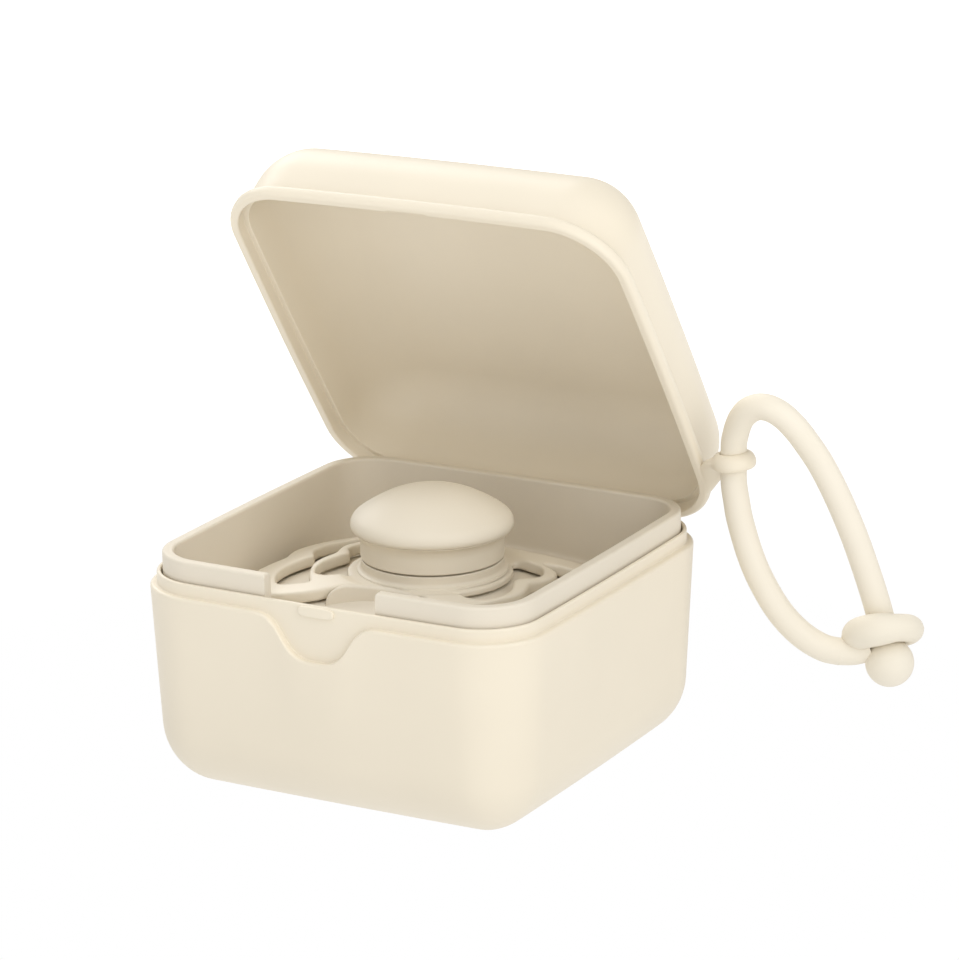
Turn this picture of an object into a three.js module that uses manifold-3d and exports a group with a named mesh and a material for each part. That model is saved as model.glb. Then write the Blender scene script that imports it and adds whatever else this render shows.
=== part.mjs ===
// Small two-part travel box with a hinged lid, a carrying strap, and a pacifier that lies on its inner tray.
// Millimetres. +Z is up, +X to the right and -Y to the front. The origin is the middle of the underside.
// The lid stands open, as it does when the pacifier is laid in or taken out.

import * as THREE from 'three';
import { mergeVertices } from 'three/addons/utils/BufferGeometryUtils.js';
import { TessellateModifier } from 'three/addons/modifiers/TessellateModifier.js';
import Module from 'manifold-3d';

const wasm = await Module();
wasm.setup();

// Seen from above, every shell is this rounded square, drawn in or out by an inset.
// Its sides bow out a little.
const caseWidth = 68;
const caseDepth = 67.6;
const cornerRadius = 10.4;
const sideBow = 0.54;
const leastCorner = 1;

// Outer case
const bottomFillet = 10.28;
const footInset = 1.2;
const ledgeHeight = 32.26;
const bandInset = 1.1;
const bandHeight = 2;
const caseWall = 1.76;
const seatHeight = 20.1;
const seatWidth = 1.55;
const floorThickness = 1.8;
const innerFillet = 8.5;
const edgeRound = 0.3;

// Thumb dip in the skin of the case, and the catch on the band above it
const dipShoulder = 10.9;
const dipHalfWidth = 5.8;
const dipDepth = 6.6;
const catchWidth = 6.2;
const catchProud = 0.4;
const catchHeight = 1.7;
const catchPlay = 0.12;

// Inner tray: a wall that stands out of the case, and a domed plate with a hole for the teat
const trayClearance = 0.3;
const trayWall = 1.83;
const rimHeight = 37.38;
const plateTop = 29.6;
const plateThickness = 1.6;
const domeRadius = 102.5;
const teatHoleRadius = 9.5;
const notchWidth = 19.1;
const notchDepth = 4;

// Nose stop: an arched rib on the plate that keeps a finger's room behind the front notch
const stopRadius = 12.9;
const stopCentreY = -25.3;
const stopHalfWidth = 8.6;
const stopFlatHalfWidth = 5.8;
const stopThickness = 1.3;
const stopEndThickness = 0.5;
const stopTop = 31.1;

// Lid, described as it lies when it is shut
const lidGap = 0.16;
const lidHeight = 17;
const lidInset = 0.6;
const lidDraft = 0.15;
const lidFillet = 10.35;
const lidRoof = 1.6;
const beadProud = 1.4;
const beadHeight = 1.93;
const bandClearance = 0.25;
const lidInnerDraft = 0.2;
const openAngle = 55.23;

// Hinge at the back: a lid barrel between two case lugs, on one pin
const hingeOut = 0.5;
const hingeDrop = 0.02;
const barrelRadius = 2;
const barrelLength = 20;
const lugLength = 4.7;
const lugGusset = 5;
const lugBlend = 0.3;
const pinRadius = 0.9;
const pinClearance = 0.2;
const runningGap = 0.3;

// Ear that the strap goes through. It stands level while the lid is open, and an arm ties it to the bead.
const earReach = 6;
const earFromMiddle = 18.2;
const earAboveRim = 1.39;
const earRadius = 3.5;
const earHoleRadius = 2.4;
const earThickness = 2.6;
const earRound = 0.6;
const armReach = 4.3;
const armRootFront = 4.2;
const armRootBack = 8.2;
const armNeckFront = 1.6;
const armNeckBack = 1.7;

// Pacifier
const knobCentreY = 1.5;
const restGap = 0.3;
const shieldThickness = 1.95;
const shieldClearance = 2.31;
const neckRadius = 4.9;
const neckBoreClearance = 0.4;
const collarRadius = 11.3;
const collarHeight = 0.6;
const collarFillet = 0.8;
const teatWall = 1.4;
const flangeRadius = 8;
const flangeThickness = 1.15;
const teatRoom = 3.55;
const teatBulbRadius = 7.4;
const plugRadius = 3;
const plugLength = 4;
const knobRadius = 11.05;
const knobFlareRadius = 12.5;
const knobBodyHeight = 4.7;
const knobFlareHeight = 1;
const knobWellRadius = 9.4;
const knobWellDepth = 2.2;
const capHeight = 5.6;
const capWall = 1.5;
const capSkirtWall = 1;
const footNotchWidth = 1.7;
const footNotchHeight = 0.4;

// Strap: one length of silicone cord through the ear, its ends held by a ball pulled through a ring
const strapDiameter = 4;
const strapSides = 10;
const stepsPerDiameter = 1.5;
const ringRadius = 4.2;
const ringThickness = 3.9;
const ballRadius = 3.75;
const partGap = 0.3;

// Facets
const cornerSteps = 6;
const sideSteps = 4;
const filletSteps = 6;
const roundSteps = 28;
const bulbSteps = 5;
const capSteps = 6;
const knobSteps = 32;
const pinSteps = 16;
const stopSteps = 16;
const longestEdge = 7;

const halfWidth = caseWidth / 2;
const halfDepth = caseDepth / 2;
const bandTop = ledgeHeight + bandHeight;
const rimZ0 = ledgeHeight + lidGap;
const lidTop = rimZ0 + lidHeight;
const trayInset = caseWall + trayClearance;
const plateInset = trayInset + trayWall;
const hingeY = halfDepth + hingeOut;
const hingeZ = ledgeHeight - hingeDrop;
const hingeReach = barrelLength / 2 + runningGap + lugLength;
const openTurn = THREE.MathUtils.degToRad(openAngle);
const earHeight = rimZ0 + earAboveRim;
const shieldHalfWidth = halfWidth - plateInset - shieldClearance;
const shieldTop = plateTop + restGap + shieldThickness;
const teatLength = shieldTop - floorThickness - teatRoom;

// One ring of points at an inset from the case's outline. The height is a number or a function of x and y.
function outlineRing(inset, height) {
  const radius = Math.max(cornerRadius - inset, leastCorner);
  const reachX = halfWidth - inset - radius;
  const reachY = halfDepth - inset - radius;
  const ring = [];
  for (let corner = 0; corner < 4; corner++) {
    const signX = corner === 0 || corner === 3 ? 1 : -1;
    const signY = corner < 2 ? 1 : -1;
    for (let step = 0; step <= cornerSteps; step++) {
      const angle = (corner + step / cornerSteps) * Math.PI / 2;
      ring.push(new THREE.Vector2(
        signX * reachX + radius * Math.cos(angle),
        signY * reachY + radius * Math.sin(angle)));
    }
    const last = ring[ring.length - 1];
    const nextX = corner % 2 === 0 ? -last.x : last.x;
    const nextY = corner % 2 === 0 ? last.y : -last.y;
    for (let step = 1; step < sideSteps; step++) {
      const share = step / sideSteps;
      ring.push(new THREE.Vector2(last.x + (nextX - last.x) * share, last.y + (nextY - last.y) * share));
    }
  }
  return ring.map((point) => raise(bowed(point), height));
}

// The middle of each side stands out by the bow
function bowed(point) {
  const acrossX = (point.y / halfDepth) ** 2;
  const acrossY = (point.x / halfWidth) ** 2;
  return new THREE.Vector2(
    point.x * (1 - sideBow / halfWidth * acrossX),
    point.y * (1 - sideBow / halfDepth * acrossY));
}

function raise(point, height) {
  const z = typeof height === 'function' ? height(point.x, point.y) : height;
  return new THREE.Vector3(point.x, point.y, z);
}

// Points of a ring moved part of the way to a circle round the knob's axis
function ringTowardsHole(ring, share, height) {
  return ring.map((point) => {
    const angle = Math.atan2(point.y - knobCentreY, point.x);
    const holeX = teatHoleRadius * Math.cos(angle);
    const holeY = knobCentreY + teatHoleRadius * Math.sin(angle);
    const moved = new THREE.Vector2(
      point.x + (holeX - point.x) * share,
      point.y + (holeY - point.y) * share);
    return raise(moved, height);
  });
}

// Skin through rings of equal length. It closes on itself, or both its ends are filled with a flat fan.
function loft(rings, closesOnItself) {
  const count = rings[0].length;
  const positions = rings.flat().flatMap((point) => [point.x, point.y, point.z]);
  const indices = [];
  const spans = closesOnItself ? rings.length : rings.length - 1;
  for (let ring = 0; ring < spans; ring++) {
    const lower = ring * count;
    const upper = ((ring + 1) % rings.length) * count;
    for (let step = 0; step < count; step++) {
      const next = (step + 1) % count;
      indices.push(lower + step, lower + next, upper + next);
      indices.push(lower + step, upper + next, upper + step);
    }
  }
  if (!closesOnItself) {
    addFan(positions, indices, rings[0], 0, true);
    addFan(positions, indices, rings[rings.length - 1], (rings.length - 1) * count, false);
  }
  const geometry = new THREE.BufferGeometry();
  geometry.setAttribute('position', new THREE.Float32BufferAttribute(positions, 3));
  geometry.setIndex(indices);
  return geometry;
}

function addFan(positions, indices, ring, first, facesBack) {
  const middle = positions.length / 3;
  const centre = ring.reduce((sum, point) => sum.add(point), new THREE.Vector3()).divideScalar(ring.length);
  positions.push(centre.x, centre.y, centre.z);
  for (let step = 0; step < ring.length; step++) {
    const here = first + step;
    const next = first + (step + 1) % ring.length;
    indices.push(middle, facesBack ? next : here, facesBack ? here : next);
  }
}

// Points of a quarter of an ellipse, from its flat end to its upright end, as shares of width and height
function quarter(steps) {
  return Array.from({ length: steps + 1 }, (_, step) => {
    const angle = step / steps * Math.PI / 2;
    return { run: 1 - Math.sin(angle), rise: 1 - Math.cos(angle) };
  });
}

function solid(geometry) {
  const bare = geometry.clone();
  bare.deleteAttribute('normal');
  bare.deleteAttribute('uv');
  const merged = mergeVertices(bare, 1e-3);
  return new wasm.Manifold(new wasm.Mesh({
    numProp: 3,
    vertProperties: new Float32Array(merged.attributes.position.array),
    triVerts: new Uint32Array(withoutSlivers(merged.index.array)),
  }));
}

// Triangles whose corners fell together when the vertices were merged
function withoutSlivers(corners) {
  const kept = [];
  for (let first = 0; first < corners.length; first += 3) {
    const [a, b, c] = [corners[first], corners[first + 1], corners[first + 2]];
    if (a !== b && b !== c && c !== a) kept.push(a, b, c);
  }
  return kept;
}

function shell(manifold) {
  const mesh = manifold.getMesh();
  const geometry = new THREE.BufferGeometry();
  geometry.setAttribute('position', new THREE.BufferAttribute(mesh.vertProperties, 3));
  geometry.setIndex(new THREE.BufferAttribute(mesh.triVerts, 1));
  return geometry;
}

// A cylinder whose axis runs along X, with its middle at the given place
function barAlongX(radius, length, x, y, z, sides = roundSteps) {
  const geometry = new THREE.CylinderGeometry(radius, radius, length, sides);
  geometry.rotateZ(Math.PI / 2);
  geometry.translate(x, y, z);
  return geometry;
}

function block(fromX, toX, fromY, toY, fromZ, toZ) {
  const geometry = new THREE.BoxGeometry(toX - fromX, toY - fromY, toZ - fromZ);
  geometry.translate((fromX + toX) / 2, (fromY + toY) / 2, (fromZ + toZ) / 2);
  return geometry;
}

// A turned piece: pairs of radius and height, from the axis and back to it, stood up on Z
function turned(profile, sides = roundSteps) {
  const points = profile.map(([radius, height]) => new THREE.Vector2(radius, height));
  const geometry = new THREE.LatheGeometry(points, sides);
  geometry.rotateX(Math.PI / 2);
  return geometry;
}

function domeHeight(x, y) {
  return -(x * x + y * y) / (2 * domeRadius);
}

// Outer case

function caseProfile() {
  const outer = quarter(filletSteps).map(({ run, rise }) => [
    footInset + bottomFillet * run,
    bottomFillet * rise,
  ]);
  const rim = [
    [0, ledgeHeight - edgeRound],
    [edgeRound, ledgeHeight],
    [bandInset, ledgeHeight],
    [bandInset, bandTop - edgeRound / 2],
    [bandInset + edgeRound / 2, bandTop],
    [caseWall, bandTop],
    [caseWall, seatHeight],
    [caseWall + seatWidth, seatHeight],
  ];
  const hollowInset = caseWall + seatWidth + edgeRound;
  const inner = quarter(filletSteps - 2).reverse().map(({ run, rise }) => [
    hollowInset + innerFillet * run,
    floorThickness + innerFillet * rise,
  ]);
  return [...outer, ...rim, ...inner];
}

// The dip is as wide as its shoulders at the ledge and closes in an S curve to a round bottom
function dipShape() {
  const floor = ledgeHeight - dipDepth;
  const waist = ledgeHeight - dipDepth / 2;
  const soft = (dipShoulder - dipHalfWidth) * 0.7;
  const half = [
    new THREE.Vector2(dipHalfWidth * 0.4, floor),
    new THREE.Vector2(dipHalfWidth * 0.8, floor + dipDepth * 0.15),
    new THREE.Vector2(dipHalfWidth, waist),
    new THREE.Vector2(dipShoulder - soft * 1.15, waist + dipDepth / 4),
    new THREE.Vector2(dipShoulder - soft, ledgeHeight),
    new THREE.Vector2(dipShoulder, ledgeHeight),
  ];
  const other = half.map((point) => new THREE.Vector2(-point.x, point.y)).reverse();
  const shape = new THREE.Shape();
  shape.moveTo(-dipShoulder, bandTop);
  shape.lineTo(-dipShoulder, ledgeHeight);
  curveThrough(shape, other[1], other[2], other[3]);
  curveThrough(shape, other[4], other[5], new THREE.Vector2(0, floor));
  curveThrough(shape, half[0], half[1], half[2]);
  curveThrough(shape, half[3], half[4], half[5]);
  shape.lineTo(dipShoulder, bandTop);
  return shape;
}

function curveThrough(shape, first, second, end) {
  shape.bezierCurveTo(first.x, first.y, second.x, second.y, end.x, end.y);
}

// Cuts the skin in front of the band's face, no deeper
function dipCutter() {
  const geometry = new THREE.ExtrudeGeometry(dipShape(), {
    depth: bandInset * 2,
    bevelEnabled: false,
    curveSegments: 6,
  });
  geometry.rotateX(Math.PI / 2);
  geometry.translate(0, -halfDepth + bandInset, 0);
  return geometry;
}

function catchBump() {
  const round = catchHeight / 2;
  const shape = new THREE.Shape();
  shape.absarc(catchWidth / 2 - round, 0, round, -Math.PI / 2, Math.PI / 2);
  shape.absarc(-catchWidth / 2 + round, 0, round, Math.PI / 2, Math.PI * 1.5);
  const geometry = new THREE.ExtrudeGeometry(shape, {
    depth: catchProud,
    bevelThickness: catchProud / 2,
    bevelSize: catchProud / 2,
    bevelOffset: -catchProud / 2,
    bevelSegments: 1,
    curveSegments: 6,
  });
  geometry.rotateX(Math.PI / 2);
  geometry.translate(0, -halfDepth + bandInset + catchProud / 2, bandTop - round - edgeRound / 2);
  return geometry;
}

function hingeLug(side) {
  const middle = side * (barrelLength / 2 + runningGap + lugLength / 2);
  const gusset = new THREE.Shape();
  gusset.moveTo(halfDepth - caseWall / 2, hingeZ - lugGusset);
  gusset.lineTo(hingeY + barrelRadius * Math.cos(lugBlend), hingeZ - barrelRadius * Math.sin(lugBlend));
  gusset.lineTo(hingeY, hingeZ);
  gusset.lineTo(halfDepth - caseWall / 2, hingeZ);
  const web = new THREE.ExtrudeGeometry(gusset, { depth: lugLength, bevelEnabled: false });
  web.rotateX(Math.PI / 2);
  web.rotateZ(Math.PI / 2);
  web.translate(middle - lugLength / 2, 0, 0);
  return solid(barAlongX(barrelRadius, lugLength, middle, hingeY, hingeZ)).add(solid(web));
}

function outerCase() {
  const rings = caseProfile().map(([inset, height]) => outlineRing(inset, height));
  const pocket = barAlongX(barrelRadius + runningGap, barrelLength + runningGap * 2, 0, hingeY, hingeZ);
  const lugs = hingeLug(-1).add(hingeLug(1));
  return shell(solid(loft(rings, false))
    .subtract(solid(dipCutter()))
    .add(solid(catchBump()))
    .subtract(solid(pocket))
    .add(lugs)
    .subtract(solid(pinBore())));
}

// Inner tray

function plateUpper(x, y) {
  return plateTop + domeHeight(x, y);
}

function plateLower(x, y) {
  return plateUpper(x, y) - plateThickness;
}

function trayRings() {
  const base = seatHeight + trayClearance;
  const wallFoot = plateInset + edgeRound;
  const shares = [0.25, 0.5, 0.75, 1];
  const upper = shares.map((share) => ringTowardsHole(outlineRing(wallFoot, 0), share, plateUpper));
  const lower = shares.map((share) => ringTowardsHole(outlineRing(wallFoot, 0), share, plateLower)).reverse();
  return [
    outlineRing(trayInset, base),
    outlineRing(trayInset, rimHeight - edgeRound),
    outlineRing(trayInset + edgeRound, rimHeight),
    outlineRing(plateInset - edgeRound, rimHeight),
    outlineRing(plateInset, rimHeight - edgeRound),
    outlineRing(plateInset, (x, y) => plateUpper(x, y) + edgeRound),
    outlineRing(wallFoot, plateUpper),
    ...upper,
    ...lower,
    outlineRing(plateInset, plateLower),
    outlineRing(plateInset, base),
  ];
}

// Height of the stop's top edge, which rounds down at both ends
function stopEdge(x) {
  const beyond = Math.max(Math.abs(x) - stopFlatHalfWidth, 0) / (stopHalfWidth - stopFlatHalfWidth);
  const endDrop = stopTop - plateUpper(stopHalfWidth, stopCentreY + stopRadius) + edgeRound;
  return stopTop - endDrop * (1 - Math.sqrt(Math.max(1 - beyond * beyond, 0)));
}

function noseStop() {
  const reach = Math.asin(stopHalfWidth / stopRadius);
  const rings = [];
  for (let step = 0; step <= stopSteps; step++) {
    const angle = reach * (1 - 2 * step / stopSteps);
    const share = Math.abs(Math.sin(angle) * stopRadius / stopHalfWidth);
    const thickness = stopThickness + (stopEndThickness - stopThickness) * share * share;
    rings.push(stopSection(angle, thickness));
  }
  return loft(rings, false);
}

// One upright section of the stop, from its front foot over its top to its rear foot
function stopSection(angle, thickness) {
  const across = (radius) => radius * Math.sin(angle);
  const along = (radius) => stopCentreY + radius * Math.cos(angle);
  const top = stopEdge(across(stopRadius));
  const foot = plateUpper(across(stopRadius), along(stopRadius)) - plateThickness / 2;
  const soft = thickness / 5;
  const corners = [
    [stopRadius, foot],
    [stopRadius, top - soft],
    [stopRadius + soft, top],
    [stopRadius + thickness - soft, top],
    [stopRadius + thickness, top - soft],
    [stopRadius + thickness, foot],
  ];
  return corners.map(([radius, height]) => new THREE.Vector3(across(radius), along(radius), height));
}

function innerTray() {
  const notch = block(
    -notchWidth / 2, notchWidth / 2,
    -halfDepth, -halfDepth + plateInset + edgeRound,
    rimHeight - notchDepth, rimHeight + 1);
  return shell(solid(loft(trayRings(), true)).subtract(solid(notch)).add(solid(noseStop())));
}

// Lid, built shut

function lidRings() {
  const beadMiddle = lidInset - beadProud / 2;
  const openingInset = bandInset - bandClearance;
  const innerReach = lidFillet - lidRoof;
  const outerBead = Array.from({ length: 7 }, (_, step) => {
    const angle = (step / 6 - 0.5) * Math.PI;
    const inset = beadMiddle - beadProud / 2 * Math.cos(angle);
    return outlineRing(inset, rimZ0 + beadHeight / 2 * (1 + Math.sin(angle)));
  });
  const outerTop = quarter(filletSteps).reverse().map(({ run, rise }) => outlineRing(
    lidInset + lidDraft + lidFillet * run, lidTop - lidFillet * rise));
  const innerTop = quarter(filletSteps).map(({ run, rise }) => outlineRing(
    caseWall + lidInnerDraft + innerReach * run, lidTop - lidRoof - innerReach * rise));
  const bandHeadroom = bandTop + lidGap;
  return { outerBead, outerTop, innerTop, openingInset, bandHeadroom };
}

function lidShell() {
  const { outerBead, outerTop, innerTop, openingInset, bandHeadroom } = lidRings();
  const outside = [
    outlineRing(openingInset, rimZ0 + edgeRound / 2),
    outlineRing(openingInset - edgeRound / 2, rimZ0),
    ...outerBead,
    outlineRing(lidInset, rimZ0 + beadHeight + edgeRound),
    ...outerTop,
  ];
  const inside = [
    ...innerTop,
    outlineRing(caseWall, bandHeadroom),
    outlineRing(openingInset, bandHeadroom),
  ];
  return { outside, inside };
}

// The skin runs from the middle of the ceiling down the inside, round the bead and up to the roof
function lidLoft() {
  const { outside, inside } = lidShell();
  return loft([...inside, ...outside], false);
}

// The ring stands level while the lid is open
function ear() {
  const shape = new THREE.Shape();
  shape.absarc(0, 0, earRadius, 0, Math.PI * 2, false);
  const geometry = new THREE.ExtrudeGeometry(shape, {
    depth: earThickness - earRound * 2,
    bevelThickness: earRound,
    bevelSize: earRound,
    bevelOffset: -earRound,
    bevelSegments: 2,
    curveSegments: 10,
  });
  geometry.translate(0, 0, earRound - earThickness / 2);
  return atEar(geometry);
}

function atEar(geometry) {
  geometry.rotateX(openTurn);
  geometry.translate(halfWidth + earReach, earFromMiddle, earHeight);
  return geometry;
}

// The arm is as high as the bead and sweeps back from the ring to the bead
function earArm() {
  const rootX = halfWidth - lidInset / 2;
  const neckX = rootX + armReach;
  const middleX = rootX + armReach * 0.5;
  const shape = new THREE.Shape();
  shape.moveTo(rootX, earFromMiddle + armRootFront);
  shape.quadraticCurveTo(middleX, earFromMiddle + armNeckFront, neckX, earFromMiddle - armNeckFront);
  shape.lineTo(neckX, earFromMiddle + armNeckBack);
  shape.quadraticCurveTo(middleX, earFromMiddle + armRootFront, rootX, earFromMiddle + armRootBack);
  const geometry = new THREE.ExtrudeGeometry(shape, {
    depth: beadHeight,
    bevelEnabled: false,
    curveSegments: 6,
  });
  geometry.translate(0, 0, rimZ0);
  return geometry;
}

// The ear stays clear of the case's mouth and of the strap's way through it
function wholeEar() {
  const mouthInset = bandInset - bandClearance;
  const underRim = [rimZ0 - earReach * 2, rimZ0].map((height) => outlineRing(lidInset - beadProud, height));
  const mouth = [rimZ0 - earReach, bandTop + lidGap].map((height) => outlineRing(mouthInset, height));
  const hole = new THREE.CylinderGeometry(earHoleRadius, earHoleRadius, earReach * 2, roundSteps);
  hole.rotateX(Math.PI / 2);
  return solid(ear())
    .add(solid(earArm()))
    .subtract(solid(loft(underRim, false)))
    .subtract(solid(loft(mouth, false)))
    .subtract(solid(atEar(hole)));
}

function catchRelief() {
  const face = halfDepth - bandInset;
  return block(
    -catchWidth / 2 - runningGap, catchWidth / 2 + runningGap,
    -face - catchProud - catchPlay, -face,
    rimZ0 - 1, bandTop + runningGap);
}

function lid() {
  const barrel = barAlongX(barrelRadius, barrelLength, 0, hingeY, hingeZ);
  const lugRoomLength = lugLength + runningGap * 2;
  const lugRoomX = barrelLength / 2 + runningGap + lugLength / 2;
  const lugRoom = (side) => solid(barAlongX(
    barrelRadius + runningGap, lugRoomLength, side * lugRoomX, hingeY, hingeZ));
  return shell(solid(lidLoft())
    .add(wholeEar())
    .subtract(solid(catchRelief()))
    .subtract(lugRoom(-1))
    .subtract(lugRoom(1))
    .add(solid(barrel))
    .subtract(solid(pinBore())));
}

function pinBore() {
  return barAlongX(pinRadius + pinClearance, hingeReach * 2, 0, hingeY, hingeZ, pinSteps);
}

function hingePin() {
  return barAlongX(pinRadius, (hingeReach - runningGap) * 2, 0, hingeY, hingeZ, pinSteps);
}

// Pacifier

// The plan's points are shares of half the shield's width.
// Two lobes with a shallow nick between them at each side, wider than it is deep
function shieldOutline() {
  const lower = [
    [0, -0.36], [0.216, -0.428], [0.414, -0.568], [0.612, -0.604],
    [0.827, -0.522], [0.982, -0.198], [0.939, 0.036],
  ];
  const upper = [[0.939, 0.036], [1, 0.288], [0.899, 0.532], [0.647, 0.658], [0.324, 0.601], [0, 0.576]];
  const shape = new THREE.Shape();
  shape.moveTo(...grown(lower)[0]);
  followThrough(shape, lower);
  followThrough(shape, upper);
  followThrough(shape, mirrored(upper));
  followThrough(shape, mirrored(lower));
  return shape;
}

function outerSlot(side) {
  const front = [[0.504, -0.432], [0.665, -0.446], [0.781, -0.288], [0.795, -0.144], [0.727, 0.036]];
  const back = [[0.727, 0.036], [0.813, 0.18], [0.802, 0.36], [0.669, 0.489], [0.518, 0.439]];
  const inside = [[0.518, 0.439], [0.64, 0.371], [0.683, 0.252], [0.637, 0.072]];
  const home = [[0.637, 0.072], [0.665, -0.09], [0.594, -0.288], [0.504, -0.432]];
  return openPath([front, back, inside, home], side);
}

function innerOpening(side) {
  const foot = [0.331, -0.273];
  const head = [0.36, 0.403];
  const front = [foot, [0.432, -0.324], [0.532, -0.295], [0.594, -0.126], [0.525, 0.065]];
  const back = [[0.525, 0.065], [0.604, 0.216], [0.522, 0.378], head];
  return openPath([front, back, hubRun(head, foot)], side);
}

// The hub's round edge, from the back of the inner opening to its front
function hubRun(head, foot) {
  const hubShare = 0.464;
  const arcSteps = 8;
  const centreShare = knobCentreY / shieldHalfWidth;
  const hubStart = Math.atan2(head[1] - centreShare, head[0]);
  const run = [head];
  for (let step = 1; step < arcSteps; step++) {
    const angle = hubStart * (1 - 2 * step / arcSteps);
    run.push([hubShare * Math.cos(angle), centreShare + hubShare * Math.sin(angle)]);
  }
  return [...run, foot];
}

function openPath(runs, side) {
  const path = new THREE.Path();
  const placed = runs.map((run) => run.map(([x, y]) => [side * x, y]));
  path.moveTo(...grown(placed[0])[0]);
  placed.forEach((run) => followThrough(path, run));
  return path;
}

function grown(points) {
  return points.map(([x, y]) => [x * shieldHalfWidth, y * shieldHalfWidth]);
}

function followThrough(path, points) {
  path.splineThru(grown(points.slice(1)).map(([x, y]) => new THREE.Vector2(x, y)));
}

function mirrored(points) {
  return points.map(([x, y]) => [-x, y]).reverse();
}

// Cut flat, split into short edges, and then bent over the plate's dome
function shieldPlate() {
  const shape = shieldOutline();
  [1, -1].forEach((side) => shape.holes.push(outerSlot(side), innerOpening(side)));
  return new THREE.ExtrudeGeometry(shape, {
    depth: shieldThickness,
    bevelEnabled: false,
    curveSegments: 3,
  });
}

function bentOverDome(geometry) {
  const split = new TessellateModifier(longestEdge, 10).modify(geometry.toNonIndexed());
  const place = split.attributes.position;
  for (let index = 0; index < place.count; index++) {
    const drop = domeHeight(place.getX(index), place.getY(index));
    place.setZ(index, place.getZ(index) + plateTop + restGap + drop);
  }
  return split;
}

function shield() {
  const bent = bentOverDome(shell(solid(shieldPlate())));
  const collar = turned([
    [flangeRadius + restGap, -shieldThickness / 2],
    [collarRadius + collarFillet, -shieldThickness / 2],
    [collarRadius + collarFillet, 0],
    [collarRadius + collarFillet / 3, collarFillet / 3],
    [collarRadius, collarHeight],
    [flangeRadius + restGap, collarHeight],
    [flangeRadius + restGap, -shieldThickness / 2],
  ]);
  collar.translate(0, knobCentreY, shieldTop);
  const boreRadius = neckRadius + neckBoreClearance;
  const bore = new THREE.CylinderGeometry(boreRadius, boreRadius, shieldThickness * 3, roundSteps);
  bore.rotateX(Math.PI / 2);
  bore.translate(0, knobCentreY, shieldTop - shieldThickness);
  return shell(solid(bent).add(solid(collar)).subtract(solid(bore)));
}

// The heights of the turned pieces of the pacifier are counted from the shield's crown
function teat() {
  const flangeFoot = restGap;
  const flangeTop = flangeFoot + flangeThickness;
  const tip = -teatLength;
  const bulb = [];
  for (let step = 1; step <= bulbSteps; step++) {
    const angle = step / bulbSteps * Math.PI / 2;
    bulb.push([teatBulbRadius * Math.sin(angle), tip + teatBulbRadius * (1 - Math.cos(angle))]);
  }
  const shoulder = [
    [teatBulbRadius, tip + teatLength * 0.42],
    [neckRadius * 1.15, tip + teatLength * 0.64],
    [neckRadius, tip + teatLength * 0.75],
  ];
  const flange = [[flangeRadius, flangeFoot], [flangeRadius, flangeTop], [neckRadius - teatWall, flangeTop]];
  const hollow = [...bulb, ...shoulder].reverse().map(([radius, height]) => [
    radius * (1 - teatWall / teatBulbRadius),
    Math.max(height, tip + teatWall),
  ]);
  return turned([
    [0, tip], ...bulb, ...shoulder, [neckRadius, flangeFoot],
    ...flange, ...hollow, [0, tip + teatWall],
  ]);
}

const knobFoot = collarHeight + restGap;

function knobBody() {
  const well = restGap + flangeThickness + restGap;
  const top = knobFoot + knobBodyHeight;
  const flareFoot = top - knobFlareHeight;
  const flare = [1, 2, 3].map((step) => {
    const angle = step / 3 * Math.PI / 2;
    return [
      knobRadius + (knobFlareRadius - knobRadius) * (1 - Math.cos(angle)),
      flareFoot + (knobFlareHeight - edgeRound) * Math.sin(angle),
    ];
  });
  const profile = turned([
    [0, -plugLength],
    [plugRadius, -plugLength],
    [plugRadius, well],
    [flangeRadius + restGap, well],
    [flangeRadius + restGap, knobFoot],
    [knobRadius - edgeRound, knobFoot],
    [knobRadius, knobFoot + edgeRound],
    [knobRadius, flareFoot],
    ...flare,
    [knobFlareRadius, top],
    [knobWellRadius, top],
    [knobWellRadius, top - knobWellDepth],
    [0, top - knobWellDepth],
  ], knobSteps);
  const notch = block(
    -footNotchWidth / 2, footNotchWidth / 2,
    -knobFlareRadius, -flangeRadius - restGap - footNotchWidth,
    0, knobFoot + footNotchHeight);
  return shell(solid(profile).subtract(solid(notch)));
}

function knobCap() {
  const foot = knobFoot + knobBodyHeight + partGap;
  const roof = foot + capHeight - capWall;
  const skirtRadius = knobWellRadius - restGap;
  const skirtInside = skirtRadius - capSkirtWall;
  const skirtFoot = foot - knobWellDepth;
  const domeFoot = foot + edgeRound;
  const domeRise = capHeight - edgeRound;
  const dome = [];
  for (let step = 1; step < capSteps; step++) {
    const angle = step / capSteps * Math.PI / 2;
    dome.push([knobFlareRadius * Math.cos(angle), domeFoot + domeRise * Math.sin(angle)]);
  }
  return turned([
    [0, roof],
    [skirtInside - capWall / 2, roof - capWall],
    [skirtInside, foot],
    [skirtInside, skirtFoot],
    [skirtRadius, skirtFoot],
    [skirtRadius, foot],
    [knobFlareRadius - edgeRound / 2, foot],
    [knobFlareRadius, domeFoot],
    ...dome,
    [0, foot + capHeight],
  ], knobSteps);
}

// Strap

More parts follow.
